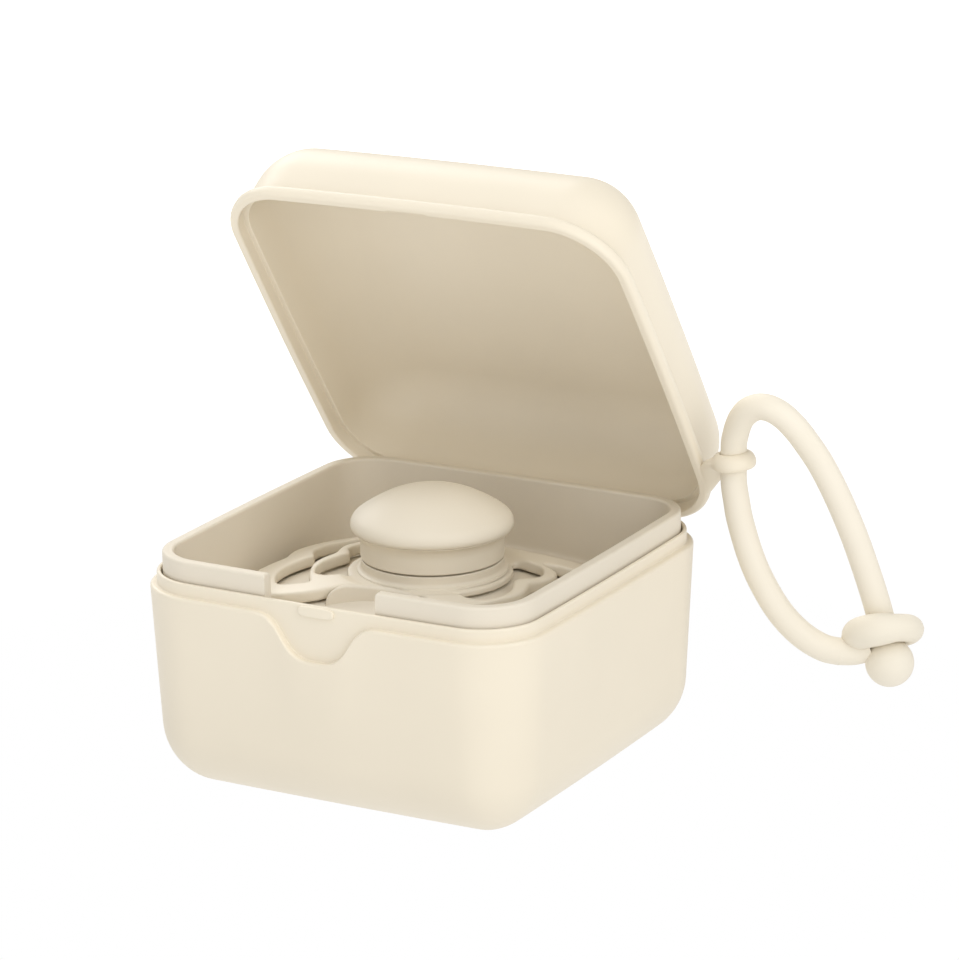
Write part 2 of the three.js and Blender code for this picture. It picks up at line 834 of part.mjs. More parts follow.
// Points of the two free lengths, chosen by hand and counted from the middle of the ear's hole
const upperRun = [
  [0, 0, 0.15], [0, 0, 1.8], [0.15, -0.2, 3.1], [0.55, -0.5, 4.4], [1.2, -1, 6], [2.15, -1.6, 7.6],
  [3.4, -2, 8.9], [5.05, -2.1, 9.75], [6.95, -2, 9.75], [8.85, -1.5, 8.75], [10.75, -0.8, 6.8],
  [12.5, 0.1, 4.15], [14.1, 1, 1.3], [15.75, 2.1, -2.55], [17.3, 3, -6.55], [18.75, 3.7, -10.55],
  [20.1, 4.2, -14.6], [21.45, 4.5, -18.65], [22.5, 4.62, -21.95], [23.55, 4.65, -25.6],
];
const lowerRun = [
  [0, 0, -0.15], [0, 0, -1.8], [0.1, -0.15, -3.3], [0.35, -0.35, -4.6], [0.75, -0.6, -6],
  [1.4, -1.1, -8.15], [2.45, -1.7, -10.65], [3.8, -2.3, -13.55], [5.3, -2.7, -16.4],
  [7, -2.9, -19.1], [8.85, -2.8, -21.8], [10.95, -2.4, -24.25], [13.3, -1.6, -26.4],
  [15.95, -0.6, -27.95], [18.2, 0.35, -28.45],
];
const ringCentre = [23.7, 4.65, -25.95];
const ringLean = [0.303, -0.35, -0.887];
const ballCentre = [25.5, 3.3, -30.2];

function cord(points) {
  const curve = new THREE.CatmullRomCurve3(points.map((point) => new THREE.Vector3(...point)));
  const section = new THREE.Shape();
  for (let side = 0; side < strapSides; side++) {
    const angle = side / strapSides * Math.PI * 2;
    const x = strapDiameter / 2 * Math.cos(angle);
    const y = strapDiameter / 2 * Math.sin(angle);
    if (side === 0) section.moveTo(x, y);
    else section.lineTo(x, y);
  }
  const steps = Math.round(curve.getLength() / strapDiameter * stepsPerDiameter);
  return new THREE.ExtrudeGeometry(section, { steps, extrudePath: curve });
}

function strapRing() {
  const upright = new THREE.Vector3(0, 0, -1);
  const lean = new THREE.Vector3(...ringLean).normalize();
  const geometry = new THREE.TorusGeometry(ringRadius, ringThickness / 2, 10, 24);
  geometry.applyQuaternion(new THREE.Quaternion().setFromUnitVectors(upright, lean));
  geometry.translate(...ringCentre);
  return geometry;
}

function strapBall() {
  const ball = new THREE.SphereGeometry(ballRadius, 18, 12);
  ball.rotateX(Math.PI / 2);
  ball.translate(...ballCentre);
  return ball;
}

// Assembly

const ivory = { color: 0xf2e6d0, roughness: 0.5, metalness: 0 };
const paleIvory = { color: 0xefe2cb, roughness: 0.55, metalness: 0 };
const silicone = { color: 0xf0e2c6, roughness: 0.65, metalness: 0 };
const clearAmber = { color: 0xe2c79a, roughness: 0.4, metalness: 0 };
const steel = { color: 0xc8c8c6, roughness: 0.35, metalness: 1 };

function piece(name, geometry, finish) {
  const mesh = new THREE.Mesh(geometry, new THREE.MeshStandardMaterial(finish));
  mesh.name = name;
  return mesh;
}

const base = new THREE.Group();
base.add(piece('outer_case', outerCase(), ivory));
base.add(piece('inner_tray', innerTray(), paleIvory));
base.add(piece('hinge_pin', hingePin(), steel));

const lidGroup = new THREE.Group();
const lidMesh = piece('lid', lid(), ivory);
lidMesh.position.set(0, -hingeY, -hingeZ);
lidGroup.add(lidMesh);
lidGroup.position.set(0, hingeY, hingeZ);
lidGroup.rotation.x = -openTurn;

const pacifier = new THREE.Group();
const crown = new THREE.Group();
crown.position.set(0, knobCentreY, shieldTop);
crown.add(piece('pacifier_teat', teat(), clearAmber));
crown.add(piece('knob_body', knobBody(), ivory));
crown.add(piece('knob_cap', knobCap(), ivory));
pacifier.add(piece('pacifier_shield', shield(), paleIvory), crown);

const strap = new THREE.Group();
const eyelet = new THREE.Vector3(halfWidth + earReach, earFromMiddle - hingeY, earHeight - hingeZ);
eyelet.applyAxisAngle(new THREE.Vector3(1, 0, 0), -openTurn);
strap.position.set(eyelet.x, eyelet.y + hingeY, eyelet.z + hingeZ);
strap.add(piece('strap_cord_upper', cord(upperRun), silicone));
strap.add(piece('strap_cord_lower', cord(lowerRun), silicone));
strap.add(piece('strap_ring', strapRing(), silicone));
strap.add(piece('strap_ball', strapBall(), silicone));

const box = new THREE.Group();
box.add(base, lidGroup, pacifier, strap);

export default box;
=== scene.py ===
import math

import bmesh
import bpy
from mathutils import Matrix, Vector


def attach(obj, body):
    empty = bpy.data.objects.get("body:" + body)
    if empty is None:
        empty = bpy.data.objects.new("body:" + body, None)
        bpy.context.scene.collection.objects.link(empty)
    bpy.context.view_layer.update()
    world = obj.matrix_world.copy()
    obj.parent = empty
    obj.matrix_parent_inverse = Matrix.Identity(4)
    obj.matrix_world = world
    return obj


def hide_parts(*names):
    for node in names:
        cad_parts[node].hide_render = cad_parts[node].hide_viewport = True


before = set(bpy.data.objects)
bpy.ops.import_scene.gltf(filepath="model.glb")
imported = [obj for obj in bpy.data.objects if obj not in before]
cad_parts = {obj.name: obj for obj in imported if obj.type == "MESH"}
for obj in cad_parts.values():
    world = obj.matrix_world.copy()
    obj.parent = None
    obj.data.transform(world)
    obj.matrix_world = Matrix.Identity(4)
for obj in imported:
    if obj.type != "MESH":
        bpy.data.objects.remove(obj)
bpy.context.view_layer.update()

# Travel box for a pacifier, open, with its loop strap.
# Sizes are in millimetres and are turned to metres as they are used.
mm = 0.001


# Camera, where the photograph was taken from
cameraView = {
    "right": (0.8753, 0.4833, -0.0136),
    "up": (-0.1273, 0.2574, 0.9579),
    "back": (0.4664, -0.8368, 0.2868),
    "place": (316.58, -550.35, 234.93),
    "lens": 161.84,
    "sensor": 36,
    "nearest": 0.05,  # metres, like the next one
    "farthest": 20,
}


def addCamera():
    data = bpy.data.cameras.new("productCamera")
    data.lens = cameraView["lens"]
    data.sensor_width = cameraView["sensor"]
    data.clip_start = cameraView["nearest"]
    data.clip_end = cameraView["farthest"]
    camera = bpy.data.objects.new("productCamera", data)
    bpy.context.scene.collection.objects.link(camera)
    axes = Matrix((cameraView["right"], cameraView["up"], cameraView["back"])).transposed()
    camera.matrix_world = Matrix.Translation(Vector(cameraView["place"]) * mm) @ axes.to_4x4()
    bpy.context.scene.camera = camera


addCamera()
print("stage: camera placed")


mergeReach = mm * 0.002  # vertices closer than this are one
supportStep = 1.25  # where a flat face's edge loop stands outside a round, as a share of the round


# Every shell grows row by row from one circle of vertices
def startRow(name, count):
    bpy.ops.object.select_all(action="DESELECT")
    bpy.ops.mesh.primitive_circle_add(vertices=count, radius=mm, fill_type="NOTHING")
    piece = bpy.context.object
    piece.name = piece.data.name = name
    bpy.ops.object.mode_set(mode="EDIT")
    bpy.ops.mesh.select_mode(type="VERT")
    mesh = bmesh.from_edit_mesh(piece.data)
    mesh.verts.layers.int.new("row")
    spot = mesh.verts.layers.int.new("spot")
    for vertex in mesh.verts:
        vertex[spot] = vertex.index
        vertex.select = True
    mesh.select_flush(True)
    bmesh.update_edit_mesh(piece.data)
    return piece


def placeRow(piece, points, number):
    mesh = bmesh.from_edit_mesh(piece.data)
    spot = mesh.verts.layers.int["spot"]
    row = mesh.verts.layers.int["row"]
    for vertex in mesh.verts:
        if vertex.select:
            vertex.co = points[vertex[spot]] * mm
            vertex[row] = number
    bmesh.update_edit_mesh(piece.data)


def selectRows(piece, numbers):
    bpy.ops.mesh.select_all(action="DESELECT")
    mesh = bmesh.from_edit_mesh(piece.data)
    row = mesh.verts.layers.int["row"]
    for vertex in mesh.verts:
        vertex.select = vertex[row] in numbers
    mesh.select_flush(True)
    bmesh.update_edit_mesh(piece.data)


def closeRow(piece, number, closing):
    selectRows(piece, [number])
    if closing == "flat":
        bpy.ops.mesh.edge_face_add()
    elif closing == "point":
        bpy.ops.mesh.merge(type="CENTER")


# One vertex where several meet, and every face outwards
def mendEdges():
    bpy.ops.mesh.select_all(action="SELECT")
    bpy.ops.mesh.remove_doubles(threshold=mergeReach)
    bpy.ops.mesh.normals_make_consistent(inside=False)


# Rows of points in millimetres. Each end is flat, a point or, with "loop", joined to the other end.
def growShell(name, rows, start="flat", end="flat"):
    piece = startRow(name, len(rows[0]))
    placeRow(piece, rows[0], 0)
    for number, points in enumerate(rows[1:], 1):
        bpy.ops.mesh.extrude_region_move()
        placeRow(piece, points, number)
    last = len(rows) - 1
    if start == "loop":
        selectRows(piece, [0, last])
        bpy.ops.mesh.bridge_edge_loops()
    else:
        closeRow(piece, 0, start)
        closeRow(piece, last, end)
    mendEdges()
    bpy.ops.object.mode_set(mode="OBJECT")
    for layer in ("row", "spot"):
        piece.data.attributes.remove(piece.data.attributes[layer])
    return piece


# Rounds each corner of an open path.
# A corner is (across, up, how far before it and after it the round reaches, steps, share).
def roundedPath(corners):
    points = []
    for index, (across, up, before, after, steps, share) in enumerate(corners):
        corner = Vector((across, up))
        if steps == 0 or index in (0, len(corners) - 1):
            points.append((corner, share))
            continue
        toBefore = (Vector(corners[index - 1][:2]) - corner).normalized() * before
        toAfter = (Vector(corners[index + 1][:2]) - corner).normalized() * after
        points.append((corner + toBefore * supportStep, share))
        for step in range(steps + 1):
            turn = math.pi / 2 * step / steps
            rounded = corner + toBefore * (1 - math.sin(turn)) + toAfter * (1 - math.cos(turn))
            points.append((rounded, share))
        points.append((corner + toAfter * supportStep, share))
    return points


def circle(x, y, radius, steps):
    turns = [math.tau * step / steps for step in range(steps)]
    return [Vector((x + radius * math.cos(turn), y + radius * math.sin(turn))) for turn in turns]


def smoothStep(share):
    share = min(max(share, 0), 1)
    return share * share * (3 - 2 * share)


def selectOnly(piece):
    bpy.ops.object.select_all(action="DESELECT")
    bpy.context.view_layer.objects.active = piece
    piece.select_set(True)


def cutOrJoin(piece, tool, operation):
    selectOnly(piece)
    change = piece.modifiers.new("change", "BOOLEAN")
    change.operation = operation
    change.object = tool
    change.solver = "EXACT"
    bpy.ops.object.modifier_apply(modifier=change.name)
    bpy.data.objects.remove(tool)


# Edges sharper than this many degrees stay hard
sharpEdge = {"plain": 38, "shield": 50, "soft": 60}


def finishPiece(piece, body, finish, nodes, sharp=sharpEdge["plain"]):
    selectOnly(piece)
    bpy.ops.object.shade_smooth_by_angle(angle=math.radians(sharp))
    piece.data.materials.clear()
    piece.data.materials.append(finish)
    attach(piece, body)
    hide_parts(*nodes)


# Colours are written as on screen and turned to linear light
def linearColour(text):
    parts = [int(text[place:place + 2], 16) / 255 for place in (0, 2, 4)]
    return [part / 12.92 if part <= 0.04045 else ((part + 0.055) / 1.055) ** 2.4 for part in parts] + [1]


def addNode(tree, kind, settings=None, inputs=None):
    node = tree.nodes.new(kind)
    for name, value in (settings or {}).items():
        setattr(node, name, value)
    for name, value in (inputs or {}).items():
        if isinstance(value, bpy.types.NodeSocket):
            tree.links.new(value, node.inputs[name])
        else:
            node.inputs[name].default_value = value
    return node


# Textures read the place on the piece, so they ride with it
def startMaterial(name):
    material = bpy.data.materials.new(name)
    material.use_nodes = True
    tree = material.node_tree
    tree.nodes.clear()
    return material, tree, addNode(tree, "ShaderNodeTexCoord").outputs["Object"]


# The part of the noise that is used, and its pull on the gloss
spread = {"low": 0.3, "high": 0.7, "dull": 0.04}


# Moulded plastic, silicone or latex: an even colour with a faint cloud in it, and a fine grain
# from the mould's wall. The real grain is too fine to show, so it is drawn coarser.
def mouldedFinish(name, look):
    material, tree, place = startMaterial(name)
    cloud = addNode(tree, "ShaderNodeTexNoise", {}, {
        "Vector": place,
        "Scale": 1 / (look["cloudSize"] * mm),
        "Detail": 2.0,
    })
    colour = addNode(tree, "ShaderNodeValToRGB", {}, {"Fac": cloud.outputs["Fac"]})
    deep, light = colour.color_ramp.elements
    deep.color, deep.position = linearColour(look["deep"]), spread["low"]
    light.color, light.position = linearColour(look["light"]), spread["high"]
    grain = addNode(tree, "ShaderNodeTexNoise", {}, {
        "Vector": place,
        "Scale": 1 / (look["grainSize"] * mm),
        "Detail": 3.0,
        "Roughness": 0.6,
    })
    dull = addNode(tree, "ShaderNodeMapRange", {}, {
        "Value": grain.outputs["Fac"],
        "From Min": spread["low"],
        "From Max": spread["high"],
        "To Min": look["roughness"] - spread["dull"],
        "To Max": look["roughness"] + spread["dull"],
    })
    bump = addNode(tree, "ShaderNodeBump", {}, {
        "Height": grain.outputs["Fac"],
        "Strength": look["grainStrength"],
        "Distance": look["grainDepth"] * mm,
    })
    shader = addNode(tree, "ShaderNodeBsdfPrincipled", {}, {
        "Base Color": colour.outputs["Color"],
        "Roughness": dull.outputs["Result"],
        "Normal": bump.outputs["Normal"],
        "IOR": look["ior"],
        "Specular IOR Level": look["specular"],
    })
    addNode(tree, "ShaderNodeOutputMaterial", {}, {"Surface": shader.outputs["BSDF"]})
    return material


# Cloud and grain sizes and depths are in millimetres
finishes = {
    "case": {  # polypropylene from a polished mould: a satin sheen with broad, soft highlights
        "deep": "E4DAC6", "light": "E7DDC9", "cloudSize": 22, "grainSize": 0.16, "grainStrength": 0.25,
        "grainDepth": 0.01, "roughness": 0.46, "ior": 1.49, "specular": 0.4,
    },
    # The tray's colour is set a little darker and greyer than the case's: painted shade for the inside of
    # the box.
    "tray": {  # polypropylene from a sparked mould: duller, with a sandy grain
        "deep": "DCD3C2", "light": "DFD6C5", "cloudSize": 22, "grainSize": 0.24, "grainStrength": 0.7,
        "grainDepth": 0.02, "roughness": 0.56, "ior": 1.49, "specular": 0.35,
    },
    "shield": {  # polypropylene from a lightly etched mould: a little duller than the case
        "deep": "E0D7C5", "light": "E3DAC8", "cloudSize": 18, "grainSize": 0.15, "grainStrength": 0.2,
        "grainDepth": 0.01, "roughness": 0.48, "ior": 1.49, "specular": 0.4,
    },
    "strap": {  # silicone rubber: matte and pale, with no sharp highlight
        "deep": "E5DDCC", "light": "E8E0D0", "cloudSize": 16, "grainSize": 0.2, "grainStrength": 0.25,
        "grainDepth": 0.01, "roughness": 0.6, "ior": 1.41, "specular": 0.35,
    },
    "teat": {  # latex dipped on a former: amber and glossy
        "deep": "D9A865", "light": "E2B878", "cloudSize": 9, "grainSize": 0.6, "grainStrength": 0.1,
        "grainDepth": 0.02, "roughness": 0.3, "ior": 1.52, "specular": 0.5,
    },
}
casePlastic = mouldedFinish("mouldedPolypropyleneSatin", finishes["case"])
trayPlasticWithPaintedShade = mouldedFinish("mouldedPolypropyleneGrained", finishes["tray"])
shieldPlastic = mouldedFinish("mouldedPolypropyleneFine", finishes["shield"])
strapSilicone = mouldedFinish("mouldedSiliconeMatte", finishes["strap"])
teatLatex = mouldedFinish("dippedNaturalLatex", finishes["teat"])
print("stage: materials made")


# Strap: two free lengths, a ring and a ball. Places are offsets from the middle of the ear's hole.
strap = {
    "eyelet": (40, 26.406, 46.36),
    "diameter": 4,
    "earRadius": 2.03,
    "ringEndRadius": 2.14,
    "neck": 0.22,  # how much thinner it is in the ear
    "neckLength": 1.9,
    "across": (0.1, 0.98, 0.15),  # the way that the parting line faces
    "upper": [
        (0, 0, 0.15), (0, 0, 1.8), (0.15, -0.2, 3.1), (0.55, -0.5, 4.4), (1.2, -1, 6), (2.15, -1.6, 7.6),
        (3.4, -2, 8.9), (5.05, -2.1, 9.75), (6.95, -2, 9.75), (8.85, -1.5, 8.75), (10.75, -0.8, 6.8),
        (12.5, 0.1, 4.15), (14.1, 1, 1.3), (15.75, 2.1, -2.55), (17.3, 3, -6.55), (18.75, 3.7, -10.55),
        (20.1, 4.2, -14.6), (21.45, 4.5, -18.65), (22.5, 4.62, -21.95), (23.55, 4.65, -25.6),
    ],
    "lower": [
        (0, 0, -0.15), (0, 0, -1.8), (0.1, -0.15, -3.3), (0.35, -0.35, -4.6), (0.75, -0.6, -6),
        (1.4, -1.1, -8.15), (2.45, -1.7, -10.65), (3.8, -2.3, -13.55), (5.3, -2.7, -16.4),
        (7, -2.9, -19.1), (8.85, -2.8, -21.8), (10.95, -2.4, -24.25), (13.3, -1.6, -26.4),
        (15.95, -0.6, -27.95), (18.2, 0.35, -28.45),
    ],
    "root": [(17.9, 0.22, -28.4), (20, 1.35, -28.4), (21.9, 2.6, -27.9)],
    "ringCentre": (23.42, 4.65, -25.85),
    "ringLean": (0.303, -0.35, -0.887),
    "ringRadius": 4.15,
    "ringTube": 2.15,
    "ringLobe": 0.4,  # the ring is thicker on one side
    "ringLobeAt": 260,
    "ringSteps": 72,
    "ballCentre": (25.15, 3.3, -30.05),
    "ballRadius": 3.78,
    "ballSteps": 28,
    "ballSides": 48,
    "seamHeight": 0.05,
    "seamWidth": 0.2,
    "sides": 40,
}
eyelet = Vector(strap["eyelet"])
loopAcross = Vector(strap["across"]).normalized()


# A smooth run through given points, with as many steps in each span
def smoothRun(points, perSpan):
    points = [Vector(point) for point in points]
    ends = [points[0] * 2 - points[1], *points, points[-1] * 2 - points[-2]]
    run = []
    for index in range(len(points) - 1):
        a, b, c, d = ends[index:index + 4]
        for step in range(perSpan):
            run.append(catmullPoint(a, b, c, d, step / perSpan))
    return [*run, points[-1]]


def catmullPoint(a, b, c, d, share):
    t1 = (b - a).length ** 0.5
    t2 = t1 + (c - b).length ** 0.5
    t3 = t2 + (d - c).length ** 0.5
    t = t1 + (t2 - t1) * share
    ab = a * ((t1 - t) / t1) + b * (t / t1)
    bc = b * ((t2 - t) / (t2 - t1)) + c * ((t - t1) / (t2 - t1))
    cd = c * ((t3 - t) / (t3 - t2)) + d * ((t - t2) / (t3 - t2))
    abc = ab * ((t2 - t) / t2) + bc * (t / t2)
    bcd = bc * ((t3 - t) / (t3 - t1)) + cd * ((t - t1) / (t3 - t1))
    return abc * ((t2 - t) / (t2 - t1)) + bcd * ((t - t1) / (t2 - t1))


# A round section with the mould's parting line standing out on two sides
def seamedSection(radius, sides):
    section = []
    for index in range(sides):
        angle = math.tau * index / sides
        reach = min(abs(math.sin(angle)) * radius / strap["seamWidth"], 1)
        section.append((angle, radius + strap["seamHeight"] * (1 - reach)))
    return section


def tubeRows(run, radii, across):
    rows = []
    for index, point in enumerate(run):
        ahead = run[min(index + 1, len(run) - 1)] - run[max(index - 1, 0)]
        side = across.cross(ahead).normalized()
        up = ahead.cross(side).normalized()
        section = seamedSection(radii(index / (len(run) - 1)), strap["sides"])
        rows.append([point + (side * math.cos(a) + up * math.sin(a)) * r for a, r in section])
    return rows


# The strap is a little thicker towards its ring, and has a neck where the ear holds it
def strapRadius(share, length):
    even = strap["earRadius"] + (strap["ringEndRadius"] - strap["earRadius"]) * share
    return even - strap["neck"] * (1 - smoothStep(share * length / strap["neckLength"]))


def strapCord(name, points, node):
    run = [eyelet + point for point in smoothRun(points, 4)]
    span = sum((b - a).length for a, b in zip(run, run[1:]))
    piece = growShell(name, tubeRows(run, lambda share: strapRadius(share, span), loopAcross))
    finishPiece(piece, "strap", strapSilicone, [node], sharpEdge["soft"])
    metres = [point * mm for point in run]
    length = sum((b - a).length for a, b in zip(metres, metres[1:]))
    return length


def leanTurn():
    lean = Vector(strap["ringLean"]).normalized()
    return Vector((0, 0, -1)).rotation_difference(lean).to_matrix()


# The lobe fades out on both sides of the place where the ring is thickest
def ringThickness(around):
    near = math.cos(around - math.radians(strap["ringLobeAt"])) * 1.6 - 0.6
    return strap["ringTube"] + strap["ringLobe"] * smoothStep(near)


def strapRing():
    turn = leanTurn()
    centre = eyelet + Vector(strap["ringCentre"])
    rows = []
    for step in range(strap["ringSteps"]):
        around = math.tau * step / strap["ringSteps"]
        outward = Vector((math.cos(around), math.sin(around), 0))
        row = []
        for angle, reach in seamedSection(ringThickness(around), strap["sides"]):
            flat = outward * (strap["ringRadius"] + reach * math.cos(angle))
            row.append(centre + turn @ (flat + Vector((0, 0, reach * math.sin(angle)))))
        rows.append(row)
    piece = growShell("strapRing", rows, "loop")
    run = [eyelet + point for point in smoothRun(strap["root"], 6)]
    root = growShell("ringRoot", tubeRows(run, lambda share: strap["ringEndRadius"], loopAcross))
    cutOrJoin(piece, root, "UNION")
    finishPiece(piece, "strap", strapSilicone, ["strap_ring"], sharpEdge["soft"])
    return piece


def strapBall():
    centre = eyelet + Vector(strap["ballCentre"])
    rows = []
    for step in range(1, strap["ballSteps"]):
        angle = math.pi * step / strap["ballSteps"]
        height = strap["ballRadius"] * math.cos(angle)
        ring = circle(0, 0, strap["ballRadius"] * math.sin(angle), strap["ballSides"])
        rows.append([centre + Vector((*flat, height)) for flat in ring])
    piece = growShell("strapBall", rows, "point", "point")
    finishPiece(piece, "strap", strapSilicone, ["strap_ball"], sharpEdge["soft"])
    return piece


ringPiece = strapRing()
ballPiece = strapBall()
upperLength = strapCord("strapUpper", strap["upper"], "strap_cord_upper")
lowerLength = strapCord("strapLower", strap["lower"], "strap_cord_lower")
print("stage: strap made, free lengths in mm", round(upperLength / mm, 1), round(lowerLength / mm, 1))


# The rounded square that every shell of the box follows. Its sides bow out a little.
boxOutline = {
    "width": 68,
    "depth": 67.6,
    "corner": 10.4,
    "leastCorner": 1,
    "bow": 0.54,
    "cornerSteps": 16,
    "sideSteps": 20,
}
halfWidth = boxOutline["width"] / 2
halfDepth = boxOutline["depth"] / 2
straightReach = halfWidth - boxOutline["corner"]


# The shares of the front's straight part, with the stops in place of the even ones there
def frontShares(even, stops):
    beyond = max(stops) / straightReach + 0.02
    signed = [side * stop for stop in stops for side in (-1, 1) if stop or side > 0]
    kept = [share for share in even if abs(share) > beyond]
    return sorted(kept + [stop / straightReach for stop in signed])


# Each spot is a corner or a side, and how far along it lies.
# Stops are extra places along the front, in mm from its middle.
def outlineSpots(stops=()):
    spots = []
    even = [step / boxOutline["sideSteps"] * 2 - 1 for step in range(1, boxOutline["sideSteps"])]
    for corner in range(4):
        for step in range(boxOutline["cornerSteps"] + 1):
            spots.append(("corner", corner, (corner + step / boxOutline["cornerSteps"]) * math.pi / 2))
        shares = even
        if corner == 2 and stops:
            shares = frontShares(even, stops)
        if corner in (0, 1):
            shares = [-share for share in even]
        spots += [("side", corner, share) for share in shares]
    return spots


def outlinePoint(spot, inset):
    kind, corner, share = spot
    radius = max(boxOutline["corner"] - inset, boxOutline["leastCorner"])
    reachX = halfWidth - inset - radius
    reachY = halfDepth - inset - radius
    if kind == "corner":
        x = (reachX if corner in (0, 3) else -reachX) + radius * math.cos(share)
        y = (reachY if corner < 2 else -reachY) + radius * math.sin(share)
    elif corner % 2 == 0:
        x = reachX * share
        y = (halfDepth - inset) * (1 if corner == 0 else -1)
    else:
        x = (halfWidth - inset) * (1 if corner == 3 else -1)
        y = reachY * share
    bow = boxOutline["bow"]
    bowedX = x * (1 - bow / halfWidth * (y / halfDepth) ** 2)
    bowedY = y * (1 - bow / halfDepth * (x / halfWidth) ** 2)
    return Vector((bowedX, bowedY))


# Outer case
case = {
    "footInset": 11.48,
    "taper": 1.77,  # how much narrower the side is at its foot
    "bottomRound": 9.71,
    "ledge": 32.26,
    "band": 34.26,
    "bandInset": 1.1,
    "wall": 1.76,
    "seat": 20.1,
    "seatWidth": 1.55,
    "floor": 1.8,
    "hollowRound": 8.5,
    "hollowFootInset": 13.5,
    "stopGap": 0.45,  # the dip's edge is drawn in steps of this length
    "stops": 27,
    "dipShoulder": 10.9,
    "dipHalfWidth": 5.8,
    "dipDepth": 6.6,
    "dipFlank": 2.7,  # powers of the dip's curve, beside its middle and in it
    "dipMiddle": 3.07,
    "catchWidth": 6.2,
    "catchHeight": 1.7,
    "catchProud": 0.4,
    "catchBelowBand": 1.0,
    "catchSides": 48,
    "catchRows": [(-1, 0), (0.3, 0), (0.6, 0.02), (0.82, 0.08), (0.95, 0.17), (1, 0.3)],
}


# How deep the thumb dip cuts into the skin's top edge
def dipAt(x):
    shoulder, half, depth = case["dipShoulder"], case["dipHalfWidth"], case["dipDepth"]
    x = abs(x)
    if x >= shoulder:
        return 0
    if x > half:
        return depth / 2 * ((shoulder - x) / (shoulder - half)) ** case["dipFlank"]
    return depth - depth / 2 * (x / half) ** case["dipMiddle"]


def caseRow(spots, across, up, share):
    row = []
    for spot in spots:
        flat = outlinePoint(spot, across)
        drop = dipAt(flat.x) * share if flat.y < 0 and abs(flat.y) > halfDepth / 2 else 0
        row.append(Vector((flat.x, flat.y, up - drop)))
    return row


def caseShell():
    ledge, band, wall, seat = case["ledge"], case["band"], case["wall"], case["seat"]
    bottom, hollow = case["bottomRound"], case["hollowRound"]
    corners = [
        (case["footInset"] + 1, 0, 0, 0, 0, 0),
        (case["taper"], 0, bottom, bottom, 18, 0),
    ]
    for height in range(13, 31, 2):  # the dip's pull grows from 10 mm up to 30 mm
        inset = case["taper"] * (1 - height / ledge)
        corners.append((inset, height, 0, 0, 0, smoothStep((height - 10) / 20)))
    corners += [
        (0, ledge, 0.5, 0.5, 5, 1),
        (case["bandInset"], ledge, 0.16, 0.16, 3, 1),
        (case["bandInset"], band - 1, 0, 0, 0, 0),
        (case["bandInset"], band, 0.34, 0.3, 5, 0),
        (wall, band, 0.2, 0.2, 3, 0),
        (wall, seat, 0.2, 0.2, 2, 0),
        (wall + case["seatWidth"], seat, 0.3, 0.3, 2, 0),
        (wall + case["seatWidth"] + 0.3, case["floor"], hollow, hollow, 8, 0),
        (case["hollowFootInset"], case["floor"], 0, 0, 0, 0),
    ]
    spots = outlineSpots([step * case["stopGap"] for step in range(case["stops"])])
    rows = [caseRow(spots, point.x, point.y, share) for point, share in roundedPath(corners)]
    return growShell("outerCase", rows)


# A flat-sided bar with round ends, seen from the front, with its edge rounded all round
def catchBump():
    half, tall = case["catchWidth"] / 2, case["catchHeight"] / 2
    face = -halfDepth + case["bandInset"]
    middle = case["band"] - case["catchBelowBand"]
    rows = []
    for share, shrink in case["catchRows"]:
        depth = case["catchProud"] * share
        row = []
        for step in range(case["catchSides"]):
            angle = math.tau * (step + 0.5) / case["catchSides"]
            x = math.copysign(abs(math.cos(angle)) ** 0.5, math.cos(angle)) * (half - shrink)
            z = math.copysign(abs(math.sin(angle)) ** 0.62, math.sin(angle)) * (tall - shrink)
            row.append(Vector((x, face - depth, middle + z)))
        rows.append(row)
    return growShell("catchBump", rows)


# Hinge at the back: a barrel on the lid between two lugs on the case
hinge = {
    "y": 34.3,
    "z": 32.24,
    "radius": 2,
    "barrelLength": 20,
    "lugLength": 4.7,
    "gap": 0.3,
    "gusset": 5,
    "lugFront": 1.6,  # how far the lug reaches into the wall
    "pinRadius": 0.9,
    "pinRoom": 0.2,
    "sides": 48,
    "openAngle": 55.23,
}


# A bar along X with soft ends. The outline is a function of the angle and how much it is drawn in.
def hingeBar(name, fromX, toX, outline, soft):
    ends = [(fromX, soft), (fromX + soft * 0.3, soft * 0.3), (fromX + soft, 0),
            (toX - soft, 0), (toX - soft * 0.3, soft * 0.3), (toX, soft)]
    turns = [math.tau * step / hinge["sides"] for step in range(hinge["sides"])]
    return growShell(name, [[Vector((x, *outline(turn, inset))) for turn in turns] for x, inset in ends])


def roundOutline(radius):
    return lambda angle, inset: (
        hinge["y"] + (radius - inset) * math.cos(angle), hinge["z"] + (radius - inset) * math.sin(angle))


# The lug's outline: round at the top and back, and drawn down along the wall as a gusset
def lugOutline(angle, inset):
    radius = hinge["radius"] - inset
    drop = hinge["gusset"] - hinge["radius"]
    y, z = math.cos(angle), math.sin(angle)
    if y < 0:
        return hinge["y"] + y * (hinge["lugFront"] - inset), hinge["z"] + z * radius - drop * (z < 0) * -z
    stretch = smoothStep(-z) * smoothStep(1 - y)
    return hinge["y"] + y * radius, hinge["z"] + z * radius - drop * stretch


def cutPinRoom(piece, reach):
    outline = roundOutline(hinge["pinRadius"] + hinge["pinRoom"])
    cutOrJoin(piece, hingeBar("pinRoom", -reach, reach, outline, 0.01), "DIFFERENCE")


